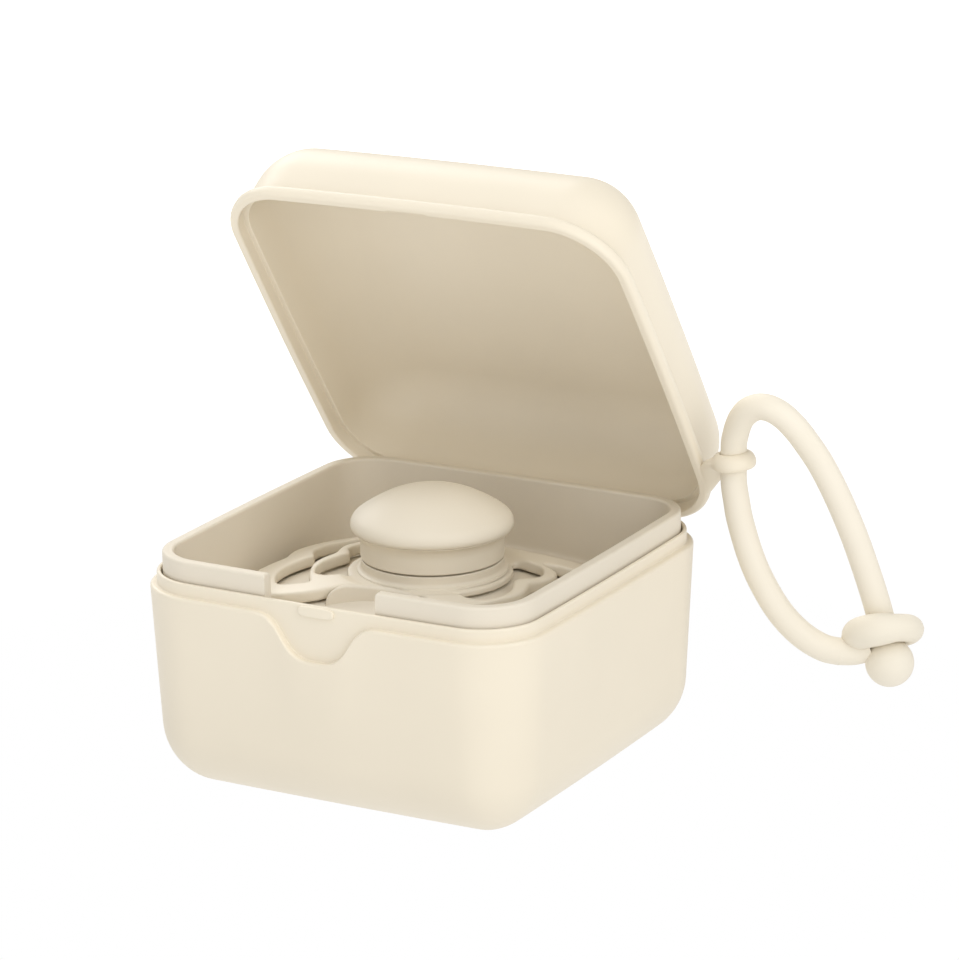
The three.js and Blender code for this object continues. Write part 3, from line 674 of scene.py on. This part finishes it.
def outerCase():
    piece = caseShell()
    cutOrJoin(piece, catchBump(), "UNION")
    middle = hinge["barrelLength"] / 2 + hinge["gap"]
    reach = middle + hinge["lugLength"]
    room = hingeBar("barrelRoom", -middle, middle, roundOutline(hinge["radius"] + hinge["gap"]), 0.2)
    cutOrJoin(piece, room, "DIFFERENCE")
    for side in (-1, 1):
        ends = sorted((side * middle, side * reach))
        cutOrJoin(piece, hingeBar("lug", *ends, lugOutline, 0.35), "UNION")
    cutPinRoom(piece, reach)
    finishPiece(piece, "case", casePlastic, ["outer_case"])


outerCase()
print("stage: outer case made")


# Inner tray
tray = {
    "inset": 2.06,
    "plateInset": 3.89,
    "base": 20.4,
    "rim": 37.38,
    "plateTop": 29.6,
    "plateThickness": 1.6,
    "domeRadius": 102.5,
    "holeRadius": 9.5,
    "holeCentreY": 1.5,
    "notchHalf": 9.55,
    "notchDepth": 4,
    "notchRound": 0.35,
    "notchSlope": 0.05,  # how far the notch's upright ends lean over their whole height
    "notchFoot": 32.9,  # over this height the wall follows the notch
    "wallMiddle": 28,
    "rimRound": 0.42,
    # Between wall and plate, as (up from the plate, in from the wall)
    "fillet": [(1.2, 0), (0.9, 0), (0.5, 0.08), (0.22, 0.28), (0.05, 0.6), (0, 0.95)],
    "holeLip": 0.5,
    # At the hole, as (down from the plate, out from the hole)
    "holeEdge": [(0.03, 0.32), (0.12, 0.12), (0.3, 0), (1.3, 0), (1.6, 0.3)],
}
stop = {
    "radius": 12.9,
    "centreY": -25.3,
    "halfWidth": 8.6,
    "flatHalfWidth": 5.8,
    "thickness": 1.3,
    "endThickness": 0.6,
    "top": 31.1,
    "crown": 0.8,  # how tall its round top edge is, as a share of half its thickness
    "sunk": 0.9,
    "endSunk": 0.3,
    "steps": 48,
    "roundSteps": 8,
}


def domeDrop(x, y):
    return (x * x + y * y) / (2 * tray["domeRadius"])


# The notch's ends are upright, with a round at the top and a smaller one at the foot
def notchAt(x):
    inside = tray["notchHalf"] + tray["notchRound"] - abs(x)
    if inside <= 0:
        return 0
    if inside < tray["notchRound"]:
        share = inside / tray["notchRound"]
        return tray["notchRound"] * (1 - math.sqrt(1 - share * share))
    beyond = min((inside - tray["notchRound"]) / tray["notchSlope"], 1)
    return tray["notchRound"] + (tray["notchDepth"] - tray["notchRound"]) * beyond


def trayRow(spots, across, up, share, followsDome):
    row = []
    for spot in spots:
        flat = outlinePoint(spot, across)
        drop = notchAt(flat.x) * share if flat.y < -halfDepth / 2 else 0
        dome = domeDrop(flat.x, flat.y) if followsDome else 0
        row.append(Vector((flat.x, flat.y, up - drop - dome)))
    return row


# A row part of the way from the plate's edge to the round hole in its middle
def plateRow(edge, share, height, radius):
    row = []
    for point in edge:
        angle = math.atan2(point.y - tray["holeCentreY"], point.x)
        hole = Vector((radius * math.cos(angle), tray["holeCentreY"] + radius * math.sin(angle), 0))
        flat = Vector((point.x, point.y, 0)).lerp(hole, share)
        row.append(Vector((flat.x, flat.y, height - domeDrop(flat.x, flat.y))))
    return row


def trayShell():
    notch = tray["notchHalf"]
    stops = [0, 1.5, 3, 4.5, 6, 7.2, 8.2, 8.9, 9.3, notch - 0.1, notch - 0.05, notch - 0.001, notch + 0.04,
             notch + 0.12, notch + 0.22, notch + 0.35, notch + 0.55, notch + 1]
    drawnIn = 1 - boxOutline["bow"] / halfWidth * 0.87  # what the bow takes off a stop at the wall
    spots = outlineSpots([value / drawnIn for value in stops])
    inset, plate, rim, top = tray["inset"], tray["plateInset"], tray["rim"], tray["plateTop"]
    edgeRound, foot = tray["rimRound"], tray["notchFoot"]
    wall = [
        (plate, tray["base"], 0, 0, 0, 0),
        (inset, tray["base"], 0.2, 0.2, 2, 0),
        (inset, tray["wallMiddle"], 0, 0, 0, 0),
        (inset, foot, 0, 0, 0, 1),
        (inset, rim, edgeRound, edgeRound, 5, 1),
        (plate, rim, edgeRound, edgeRound, 5, 1),
        (plate, foot, 0, 0, 0, 1),
    ]
    rows = [trayRow(spots, point.x, point.y, share, False) for point, share in roundedPath(wall)]
    for lift, shift in tray["fillet"]:
        rows.append(trayRow(spots, plate + shift, top + lift, 0, True))
    edge = rows[-1]
    hole, lip = tray["holeRadius"], tray["holeRadius"] + tray["holeLip"]
    rows += [plateRow(edge, step / 10, top, lip) for step in range(1, 11)]
    rows += [plateRow(edge, 1, top - drop, hole + out) for drop, out in tray["holeEdge"]]
    low = top - tray["plateThickness"]
    rows += [plateRow(edge, 1 - step / 5, low, lip) for step in range(1, 6)]
    rows.append(trayRow(spots, plate, low, 0, True))
    return growShell("innerTray", rows, "loop")


def stopHeight(x):
    beyond = max(abs(x) - stop["flatHalfWidth"], 0) / (stop["halfWidth"] - stop["flatHalfWidth"])
    endDrop = domeDrop(stop["halfWidth"], stop["centreY"] + stop["radius"])
    foot = tray["plateTop"] - endDrop - stop["endSunk"]
    return stop["top"] - (stop["top"] - foot) * (1 - math.sqrt(max(1 - beyond ** 2, 0)))


# An arched rib on the plate. Its top edge is round and rolls down into the plate at both ends.
def noseStop():
    reach = math.asin(stop["halfWidth"] / stop["radius"])
    rows = []
    for step in range(stop["steps"] + 1):
        share = math.sin((step / stop["steps"] - 0.5) * math.pi)
        angle = reach * share
        half = (stop["thickness"] + (stop["endThickness"] - stop["thickness"]) * share * share) / 2
        x = stop["radius"] * math.sin(angle)
        y = stop["centreY"] + stop["radius"] * math.cos(angle)
        outward = Vector((math.sin(angle), math.cos(angle), 0))
        middle = Vector((x, y, 0)) + outward * half
        top = stopHeight(x)
        foot = tray["plateTop"] - domeDrop(x, y) - stop["sunk"]
        row = [middle + outward * half + Vector((0, 0, foot))]
        for turn in range(stop["roundSteps"] + 1):
            bend = math.pi * turn / stop["roundSteps"]
            height = top - half * stop["crown"] * (1 - math.sin(bend))
            row.append(middle + outward * half * math.cos(bend) + Vector((0, 0, height)))
        row.append(middle - outward * half + Vector((0, 0, foot)))
        rows.append(row)
    return growShell("noseStop", rows)


def innerTray():
    piece = trayShell()
    cutOrJoin(piece, noseStop(), "UNION")
    finishPiece(piece, "case", trayPlasticWithPaintedShade, ["inner_tray"])


innerTray()
print("stage: inner tray made")


# Lid, modelled shut and then turned open about the hinge
lid = {
    "rim": 32.42,
    "height": 17,
    "inset": 0.6,
    "draft": 0.15,
    "round": 10.35,
    "roof": 1.6,
    "beadOut": -0.8,
    "beadHeight": 1.93,
    "beadRound": (0.702, 0.7527),  # across and up; with larger ones its rows would cross
    "opening": 0.85,
    "ledgeDepth": 2.0,
    "wall": 1.76,
    "roofMiddle": 18,
    "reliefHalf": 3.4,
    "reliefDepth": 0.27,
    "reliefFade": 0.25,
    "stops": [0, 1.2, 2.2, 2.9, 3.2, 3.3, 3.4, 3.5, 3.6, 4.1],
}


def lidRow(spots, across, up, share):
    row = []
    for spot in spots:
        flat = outlinePoint(spot, across)
        if share and flat.y < -halfDepth / 2:
            relief = smoothStep((lid["reliefHalf"] - abs(flat.x)) / lid["reliefFade"] + 0.5)
            flat = outlinePoint(spot, across - lid["reliefDepth"] * share * relief)
        row.append(Vector((flat.x, flat.y, up)))
    return row


def lidShell():
    rim, top, bead = lid["rim"], lid["rim"] + lid["height"], lid["beadHeight"]
    across, upward = lid["beadRound"]
    inner, ledge = lid["round"] - lid["roof"], rim + lid["ledgeDepth"]
    corners = [
        (lid["roofMiddle"], top - lid["roof"], 0, 0, 0, 0),
        (lid["wall"] + 0.25, top - lid["roof"], inner, inner, 14, 0),
        (lid["wall"], ledge, 0.14, 0.14, 3, 0),
        (lid["opening"], ledge, 0.12, 0.12, 2, 1),
        (lid["opening"], rim, 0.28, 0.28, 4, 1),
        (lid["beadOut"], rim, across, upward, 7, 0),
        (lid["beadOut"], rim + bead, upward, across, 7, 0),
        (lid["inset"], rim + bead + 0.08, 0.16, 0.3, 3, 0),
        (lid["inset"] + lid["draft"], top, lid["round"], lid["round"], 18, 0),
        (lid["roofMiddle"], top, 0, 0, 0, 0),
    ]
    spots = outlineSpots(lid["stops"])
    rows = [lidRow(spots, point.x, point.y, share) for point, share in roundedPath(corners)]
    return growShell("lidShell", rows)


# Ear for the strap: a ring that stands level while the lid is open,
# and an arm that sweeps back from it to the bead
ear = {
    "place": (40, 18.2, 33.81),
    "radius": 3.5,
    "hole": 1.98,
    "top": 1.42,
    "bottom": -1.3,
    "parting": -0.35,
    "crown": 1.35,
    "foot": 0.6,
    "arm": [
        (32.4, 25.9, 33.3), (33.9, 23.7, 33.35), (35.3, 21.6, 33.4),
        (36.7, 19.7, 33.4), (38.4, 18.5, 33.4), (40, 18.1, 33.4),
    ],
    "armRootWide": 1.6,
    "armTipWide": 2.6,
    "armThick": 1.15,
    "lean": -7,
    "sides": 48,
    "armSides": 32,
    "footSteps": 8,
    "crownSteps": 12,
    "sunk": 0.06,  # how deep the ear goes into the lid, so that no two faces lie in one plane
    "voxel": 0.14,
    "smoothing": 34,
}


# A filled outline with holes, given a thickness
def flatPlate(name, outline, holes, low, high):
    curve = bpy.data.curves.new(name, "CURVE")
    curve.dimensions = "2D"
    curve.fill_mode = "BOTH"
    curve.extrude = (high - low) / 2 * mm
    for loop in (outline, *holes):
        spline = curve.splines.new("POLY")
        spline.points.add(len(loop) - 1)
        spline.use_cyclic_u = True
        for point, place in zip(spline.points, loop):
            point.co = (place[0] * mm, place[1] * mm, 0, 1)
    drawn = bpy.data.objects.new(name, curve)
    bpy.context.scene.collection.objects.link(drawn)
    selectOnly(drawn)
    bpy.ops.object.convert(target="MESH")
    piece = bpy.context.object
    bpy.ops.object.mode_set(mode="EDIT")
    mendEdges()
    bpy.ops.transform.translate(value=(0, 0, (high + low) / 2 * mm))
    bpy.ops.object.mode_set(mode="OBJECT")
    return piece


# Rounds every edge a little: the mesh is made anew in small even faces, and these are smoothed
def soften(piece, voxel, rounds):
    selectOnly(piece)
    remesh = piece.modifiers.new("even", "REMESH")
    remesh.mode = "VOXEL"
    remesh.voxel_size = voxel * mm
    bpy.ops.object.modifier_apply(modifier=remesh.name)
    smooth = piece.modifiers.new("soften", "SMOOTH")
    smooth.factor = 0.5
    smooth.iterations = rounds
    bpy.ops.object.modifier_apply(modifier=smooth.name)
    return piece


def atEar(piece):
    level = Matrix.Rotation(math.radians(hinge["openAngle"]), 4, "X")
    lean = Matrix.Rotation(math.radians(ear["lean"]), 4, "Y")
    piece.data.transform(Matrix.Translation(Vector(ear["place"]) * mm) @ (level @ lean))
    return piece


# A disc with a rounded top and a parting line low on its edge
def earRing():
    rows = []
    for step in range(ear["footSteps"] + 1):
        turn = math.pi / 2 * step / ear["footSteps"]
        height = ear["parting"] + (ear["bottom"] - ear["parting"]) * math.cos(turn)
        rows.append(circleRow(ear["radius"] - ear["foot"] * (1 - math.sin(turn)), height))
    for step in range(1, ear["crownSteps"] + 1):
        turn = math.pi / 2 * step / ear["crownSteps"]
        height = ear["parting"] + (ear["top"] - ear["parting"]) * math.sin(turn)
        rows.append(circleRow(ear["radius"] - ear["crown"] * (1 - math.cos(turn)), height))
    return atEar(growShell("ear", rows))


def circleRow(radius, height):
    return [Vector((*flat, height)) for flat in circle(0, 0, radius, ear["sides"])]


# Lies in the bead at its root and is level, like the ring, at its tip
def earArm():
    run = smoothRun(ear["arm"], 4)
    turns = [math.tau * side / ear["armSides"] for side in range(ear["armSides"])]
    level = math.radians(hinge["openAngle"])
    rows = []
    for number, centre in enumerate(run):
        share = number / (len(run) - 1)
        along = (run[min(number + 1, len(run) - 1)] - run[max(number - 1, 0)]).normalized()
        up = Matrix.Rotation(level * smoothStep(share), 3, "X") @ Vector((0, 0, 1))
        wide = up.cross(along).normalized()
        thick = along.cross(wide)
        reach = ear["armRootWide"] + (ear["armTipWide"] - ear["armRootWide"]) * share
        rows.append([centre + wide * reach * math.cos(turn) + thick * ear["armThick"] * math.sin(turn)
                     for turn in turns])
    return growShell("earArm", rows)


def outlineBlock(name, inset, low, high):
    flat = [outlinePoint(spot, inset) for spot in outlineSpots()]
    return growShell(name, [[Vector((*point, height)) for point in flat] for height in (low, high)])


# The ear stays clear of the lid's mouth and of the strap's way through it
def earPiece():
    piece = earRing()
    cutOrJoin(piece, earArm(), "UNION")
    hole = growShell("earHole", [circleRow(ear["hole"], height) for height in (-9, 9)])
    cutOrJoin(piece, atEar(hole), "DIFFERENCE")
    soften(piece, ear["voxel"], ear["smoothing"])
    rim, sunk = lid["rim"], ear["sunk"]
    ledge = rim + lid["ledgeDepth"]
    cutOrJoin(piece, outlineBlock("underRim", lid["beadOut"] - sunk, rim - 12, rim + sunk), "DIFFERENCE")
    cutOrJoin(piece, outlineBlock("mouth", lid["opening"] - sunk, rim - 6, ledge + sunk), "DIFFERENCE")
    return piece


def turnLidOpen(piece):
    centre = Vector((0, hinge["y"], hinge["z"])) * mm
    turn = Matrix.Rotation(-math.radians(hinge["openAngle"]), 4, "X")
    piece.data.transform(Matrix.Translation(centre) @ turn @ Matrix.Translation(-centre))


def lidPiece():
    piece = lidShell()
    cutOrJoin(piece, earPiece(), "UNION")
    half, gap = hinge["barrelLength"] / 2, hinge["gap"]
    for side in (-1, 1):
        ends = sorted((side * (half + gap - 0.3), side * (half + gap * 2 + hinge["lugLength"])))
        cutOrJoin(piece, hingeBar("lugRoom", *ends, roundOutline(hinge["radius"] + gap), 0.1), "DIFFERENCE")
    cutOrJoin(piece, hingeBar("barrel", -half, half, roundOutline(hinge["radius"]), 0.3), "UNION")
    cutPinRoom(piece, half)
    turnLidOpen(piece)
    finishPiece(piece, "lid", casePlastic, ["lid"])


lidPiece()
print("stage: lid made")


# Pacifier
pacifier = {
    "centreX": 0.45,
    "centreY": 1.5,
    "shieldFoot": 29.9,
    "shieldTop": 31.85,
    "hubRadius": 12.9,
    "hubSeat": 15.2,  # the shield dips towards the collar inside this radius
    "hubFade": 2.4,
    "neckRadius": 4.9,
    "neckRoom": 0.4,
    "slotRoom": 0.3,
    "voxel": 0.3,
    "softening": 16,
    "collarRadius": 11.1,
    "collarFoot": -0.75,
    "collarTop": 0.62,
    "knobFoot": 0.9,
    "knobBody": 4.45,
    "bodyRadius": 11.15,
    "boreRadius": 8.3,
    "stemRadius": 3,
    "seamGap": 0.02,
    "cap": [
        (12.33, 0.01), (12.5, 0.12), (12.64, 0.42), (12.66, 0.8), (12.54, 1.3), (12.2, 1.88), (11.5, 2.52),
        (10.45, 3.22), (9.2, 3.98), (7.8, 4.72), (6.3, 5.38), (4.7, 5.9), (3.1, 6.24), (1.6, 6.4),
        (0.4, 6.44),
    ],
}
shieldPlan = {
    "lower": [(0, -10), (6, -11.9), (11.5, -15.8), (17, -16.8), (23, -14.5), (27.3, -5.5), (26.1, 1)],
    "upper": [(26.1, 1), (27.8, 8), (25, 14.8), (18, 18.3), (9, 16.7), (0, 16)],
    "outerSlot": [
        [(14, -12), (18.5, -12.4), (21.7, -8), (22.1, -4), (20.2, 1)],
        [(20.2, 1), (22.6, 5), (22.3, 10), (18.6, 13.6), (14.4, 12.2)],
        [(14.4, 12.2), (17.8, 10.3), (19, 7), (17.7, 2)],
        [(17.7, 2), (18.5, -2.5), (16.5, -8), (14, -12)],
    ],
    "innerOpening": [
        [(9.2, -7.6), (12, -9), (14.8, -8.2), (16.5, -3.5), (14.6, 1.8)],
        [(14.6, 1.8), (16.8, 6), (14.5, 10.5), (10, 11.2)],
    ],
}


def planLoop(runs, side=1):
    loop = []
    for run in runs:
        loop += smoothRun([(side * x, y, 0) for x, y in run], 8)[:-1]
    return loop


# Moves each point of a closed loop off its middle line
def widened(loop, reach):
    moved = []
    for index, point in enumerate(loop):
        along = (loop[(index + 1) % len(loop)] - loop[index - 1]).normalized()
        moved.append(point + Vector((along.y, -along.x, 0)) * reach)
    return moved


# The side of an inner opening that runs round the knob's collar
def hubArc():
    first, last = shieldPlan["innerOpening"][-1][-1], shieldPlan["innerOpening"][0][0]
    centre, radius = pacifier["centreY"], pacifier["hubRadius"]
    start = math.atan2(first[1] - centre, first[0])
    turns = [start * (1 - step / 8) for step in range(1, 16)]
    arc = [(radius * math.cos(turn), centre + radius * math.sin(turn)) for turn in turns]
    return [first, *arc, last]


def shieldPiece():
    lower, upper = shieldPlan["lower"], shieldPlan["upper"]
    outline = planLoop([lower, upper])
    outline += planLoop([[(-x, y) for x, y in reversed(upper)], [(-x, y) for x, y in reversed(lower)]])
    holes = [circle(0, pacifier["centreY"], pacifier["neckRadius"] + pacifier["neckRoom"], 48)]
    for side in (1, -1):
        holes.append(widened(planLoop(shieldPlan["outerSlot"], side), pacifier["slotRoom"] * side))
        holes.append(planLoop([*shieldPlan["innerOpening"], hubArc()], side))
    low, high = pacifier["shieldFoot"], pacifier["shieldTop"]
    plate = flatPlate("pacifierShield", outline, holes, low, high)
    piece = soften(plate, pacifier["voxel"], pacifier["softening"])
    for vertex in piece.data.vertices:
        x, y = vertex.co.x / mm, vertex.co.y / mm
        hub = math.hypot(x - pacifier["centreX"], y - pacifier["centreY"])
        dip = -pacifier["collarFoot"] * smoothStep((pacifier["hubSeat"] - hub) / pacifier["hubFade"])
        isTop = vertex.co.z > (low + high) / 2 * mm
        vertex.co.z -= (domeDrop(x, y) + (dip if isTop else 0)) * mm
    cutOrJoin(piece, shieldCollar(), "UNION")
    finishPiece(piece, "pacifier", shieldPlastic, ["pacifier_shield"],
                sharpEdge["shield"])


# A turned piece on the knob's axis.
# Its profile is (radius, height over the shield's crown), from one end to the other.
def turnedShell(name, profile, start, end, sides=96):
    rows = []
    for radius, height in profile:
        ring = circle(pacifier["centreX"], pacifier["centreY"], radius, sides)
        rows.append([Vector((*flat, pacifier["shieldTop"] + height)) for flat in ring])
    return growShell(name, rows, start, end)


def turnedPath(corners):
    return [tuple(point) for point, _ in roundedPath([(*corner, 0) for corner in corners])]


def shieldCollar():
    edge, foot, top = pacifier["collarRadius"], pacifier["collarFoot"], pacifier["collarTop"]
    bore = pacifier["boreRadius"]
    profile = turnedPath([
        (bore, foot - 0.6, 0, 0, 0), (edge + 0.7, foot - 0.6, 0, 0, 0), (edge + 0.6, foot - 0.3, 0, 0, 0),
        (edge, foot - 0.1, 0.4, 0.4, 5), (edge, top, 0.15, 0.12, 3),
        (bore, top, 0, 0, 0), (bore, 0, 0, 0, 0),
    ])
    return turnedShell("shieldCollar", profile, "loop", "loop")


# Two parts that meet in a fine line just under the knob's widest circle
def knobPieces():
    foot = pacifier["knobFoot"]
    seam = foot + pacifier["knobBody"]
    edge, bore, stem = pacifier["bodyRadius"], pacifier["boreRadius"], pacifier["stemRadius"]
    body = turnedPath([
        (stem, -4, 0, 0, 0), (stem, 1.75, 0, 0, 0), (bore, 1.75, 0, 0, 0), (bore, foot, 0, 0, 0),
        (edge, foot, 0.15, 0.2, 3), (edge, seam - 1, 1.1, 0.85, 8), (12.38, seam - 0.1, 0.35, 0.04, 3),
        (12.34, seam, 0.03, 0.03, 2), (9.4, seam, 0.1, 0.1, 1), (9.4, seam - 2.2, 0, 0, 0),
        (4, seam - 2.2, 0, 0, 0),
    ])
    piece = turnedShell("knobBody", body, "flat", "flat")
    finishPiece(piece, "pacifier", shieldPlastic, ["knob_body"])
    seam += pacifier["seamGap"]
    cap = turnedPath([
        (3, seam + 4, 0, 0, 0), (7, seam + 3, 0, 0, 0), (8.1, seam, 0, 0, 0), (8.1, seam - 1.9, 0, 0, 0),
        (9.1, seam - 1.9, 0.2, 0.2, 2), (9.1, seam, 0, 0, 0),
    ])
    dome = smoothRun([(radius, seam + height, 0) for radius, height in pacifier["cap"]], 3)
    cap += [(point.x, point.y) for point in dome]
    piece = turnedShell("knobCap", cap, "flat", "point")
    finishPiece(piece, "pacifier", shieldPlastic, ["knob_cap"])


# Teat under the shield. Heights are over the shield's crown, as for the knob.
teat = {
    "tip": -26.5,
    "bulb": 7.4,
    "neck": [(7.0, -16.4), (6.4, -13.6), (5.7, -11), (5.15, -8.6), (4.9, -6), (4.9, 0.1)],
    "flange": [(5.1, 0.3), (7.8, 0.3), (8, 0.5), (8, 1.25), (7.8, 1.45), (3.5, 1.45)],
    "wall": 1.4,
    "leastBore": 0.6,
    "sides": 64,
}


# The inner wall follows the outer one, and at the bulb's tip it is lifted by the wall's thickness
def teatBore(radius, height):
    isTip = radius < 6 and height < -20
    return max(radius - teat["wall"], teat["leastBore"]), height + (teat["wall"] if isTip else 0)


def teatPiece():
    turns = [math.radians(degrees) for degrees in range(6, 97, 6)]
    bulb = teat["bulb"]
    outer = [(bulb * math.sin(turn), teat["tip"] + bulb * (1 - math.cos(turn))) for turn in turns]
    outer += teat["neck"]
    inner = [teatBore(*point) for point in reversed(outer)]
    piece = turnedShell("pacifierTeat", [*outer, *teat["flange"], *inner], "point", "flat", teat["sides"])
    finishPiece(piece, "pacifier", teatLatex, ["pacifier_teat"])


shieldPiece()
knobPieces()
teatPiece()
print("stage: pacifier made")


# Hinge pin. Drawing leaves fine lines along it, about 17 mm long and a third of a millimetre apart.
pinLook = {
    "colour": "C9C8C5",
    "linesPerMetre": (60, 3000, 3000),
    "shiny": 0.22,
    "dull": 0.42,
    "strength": 0.2,
    "depth": 0.01,
}


# Drawn stainless steel: a grey shine that is drawn out along the pin. Only its ends are seen.
def pinFinish():
    material, tree, place = startMaterial("drawnStainlessSteel")
    along = addNode(tree, "ShaderNodeMapping", {}, {"Vector": place, "Scale": pinLook["linesPerMetre"]})
    lines = addNode(tree, "ShaderNodeTexNoise", {}, {
        "Vector": along.outputs["Vector"],
        "Scale": 1.0,
        "Detail": 2.0,
    })
    dull = addNode(tree, "ShaderNodeMapRange", {}, {
        "Value": lines.outputs["Fac"],
        "To Min": pinLook["shiny"],
        "To Max": pinLook["dull"],
    })
    bump = addNode(tree, "ShaderNodeBump", {}, {
        "Height": lines.outputs["Fac"],
        "Strength": pinLook["strength"],
        "Distance": pinLook["depth"] * mm,
    })
    shader = addNode(tree, "ShaderNodeBsdfPrincipled", {}, {
        "Base Color": linearColour(pinLook["colour"]),
        "Metallic": 1.0,
        "Roughness": dull.outputs["Result"],
        "Normal": bump.outputs["Normal"],
    })
    addNode(tree, "ShaderNodeOutputMaterial", {}, {"Surface": shader.outputs["BSDF"]})
    return material


def hingePin():
    reach = hinge["barrelLength"] / 2 + hinge["lugLength"]
    piece = hingeBar("hingePin", -reach, reach, roundOutline(hinge["pinRadius"]), 0.2)
    finishPiece(piece, "case", pinFinish(), ["hinge_pin"])


hingePin()
print("stage: hinge pin made")


# Floor and light: a glowing white floor, and four soft round lights. Sizes here are in metres.
studio = {
    "floorColour": "FFFFFF",
    "floorSize": 12.0,
    "nearGlow": 1.0,
    "farGlow": 1.55,
    "near": 0.09,
    "far": 0.35,
    "sky": 0.46,
    "aim": (0, 0, 0.03),
    "lights": [  # name, place, width and power in watts
        ("overhead", (0.1, -0.3, 1.3), 1.6, 8),
        ("rightSide", (1.3, -0.5, 0.7), 1.2, 7.4),
        ("backLeft", (-1.2, 0.9, 1.1), 1.2, 15),
        ("frontLow", (0.25, -1.7, 0.3), 1.4, 5.2),
    ],
}


# Opal acrylic lit from below: pure white all over, with no shadow on it, and brighter farther out
def addFloor():
    bpy.ops.object.select_all(action="DESELECT")
    bpy.ops.mesh.primitive_plane_add(size=studio["floorSize"])
    floor = bpy.context.object
    floor.name = "studioFloor"
    material, tree, place = startMaterial("backlitAcrylicWhite")
    reach = addNode(tree, "ShaderNodeVectorMath", {"operation": "LENGTH"}, {"Vector": place})
    glow = addNode(tree, "ShaderNodeMapRange", {"interpolation_type": "SMOOTHSTEP"}, {
        "Value": reach.outputs["Value"],
        "From Min": studio["near"],
        "From Max": studio["far"],
        "To Min": studio["nearGlow"],
        "To Max": studio["farGlow"],
    })
    shader = addNode(tree, "ShaderNodeBsdfPrincipled", {}, {
        "Base Color": linearColour("000000"),
        "Specular IOR Level": 0.0,
        "Emission Color": linearColour(studio["floorColour"]),
        "Emission Strength": glow.outputs["Result"],
    })
    addNode(tree, "ShaderNodeOutputMaterial", {}, {"Surface": shader.outputs["BSDF"]})
    floor.data.materials.append(material)


def addLight(name, place, size, power):
    data = bpy.data.lights.new(name, "AREA")
    data.shape = "DISK"
    data.size = size
    data.energy = power
    light = bpy.data.objects.new(name, data)
    bpy.context.scene.collection.objects.link(light)
    light.location = place
    aim = Vector(studio["aim"]) - Vector(place)
    light.rotation_euler = aim.to_track_quat("-Z", "Y").to_euler()


def addSky():
    world = bpy.data.worlds.new("studioSky")
    world.use_nodes = True
    sky = world.node_tree.nodes["Background"]
    sky.inputs["Color"].default_value = (1, 1, 1, 1)
    sky.inputs["Strength"].default_value = studio["sky"]
    bpy.context.scene.world = world


addFloor()
addSky()
for light in studio["lights"]:
    addLight(*light)
bpy.context.scene.view_settings.view_transform = "Standard"
print("stage: floor and lights placed")
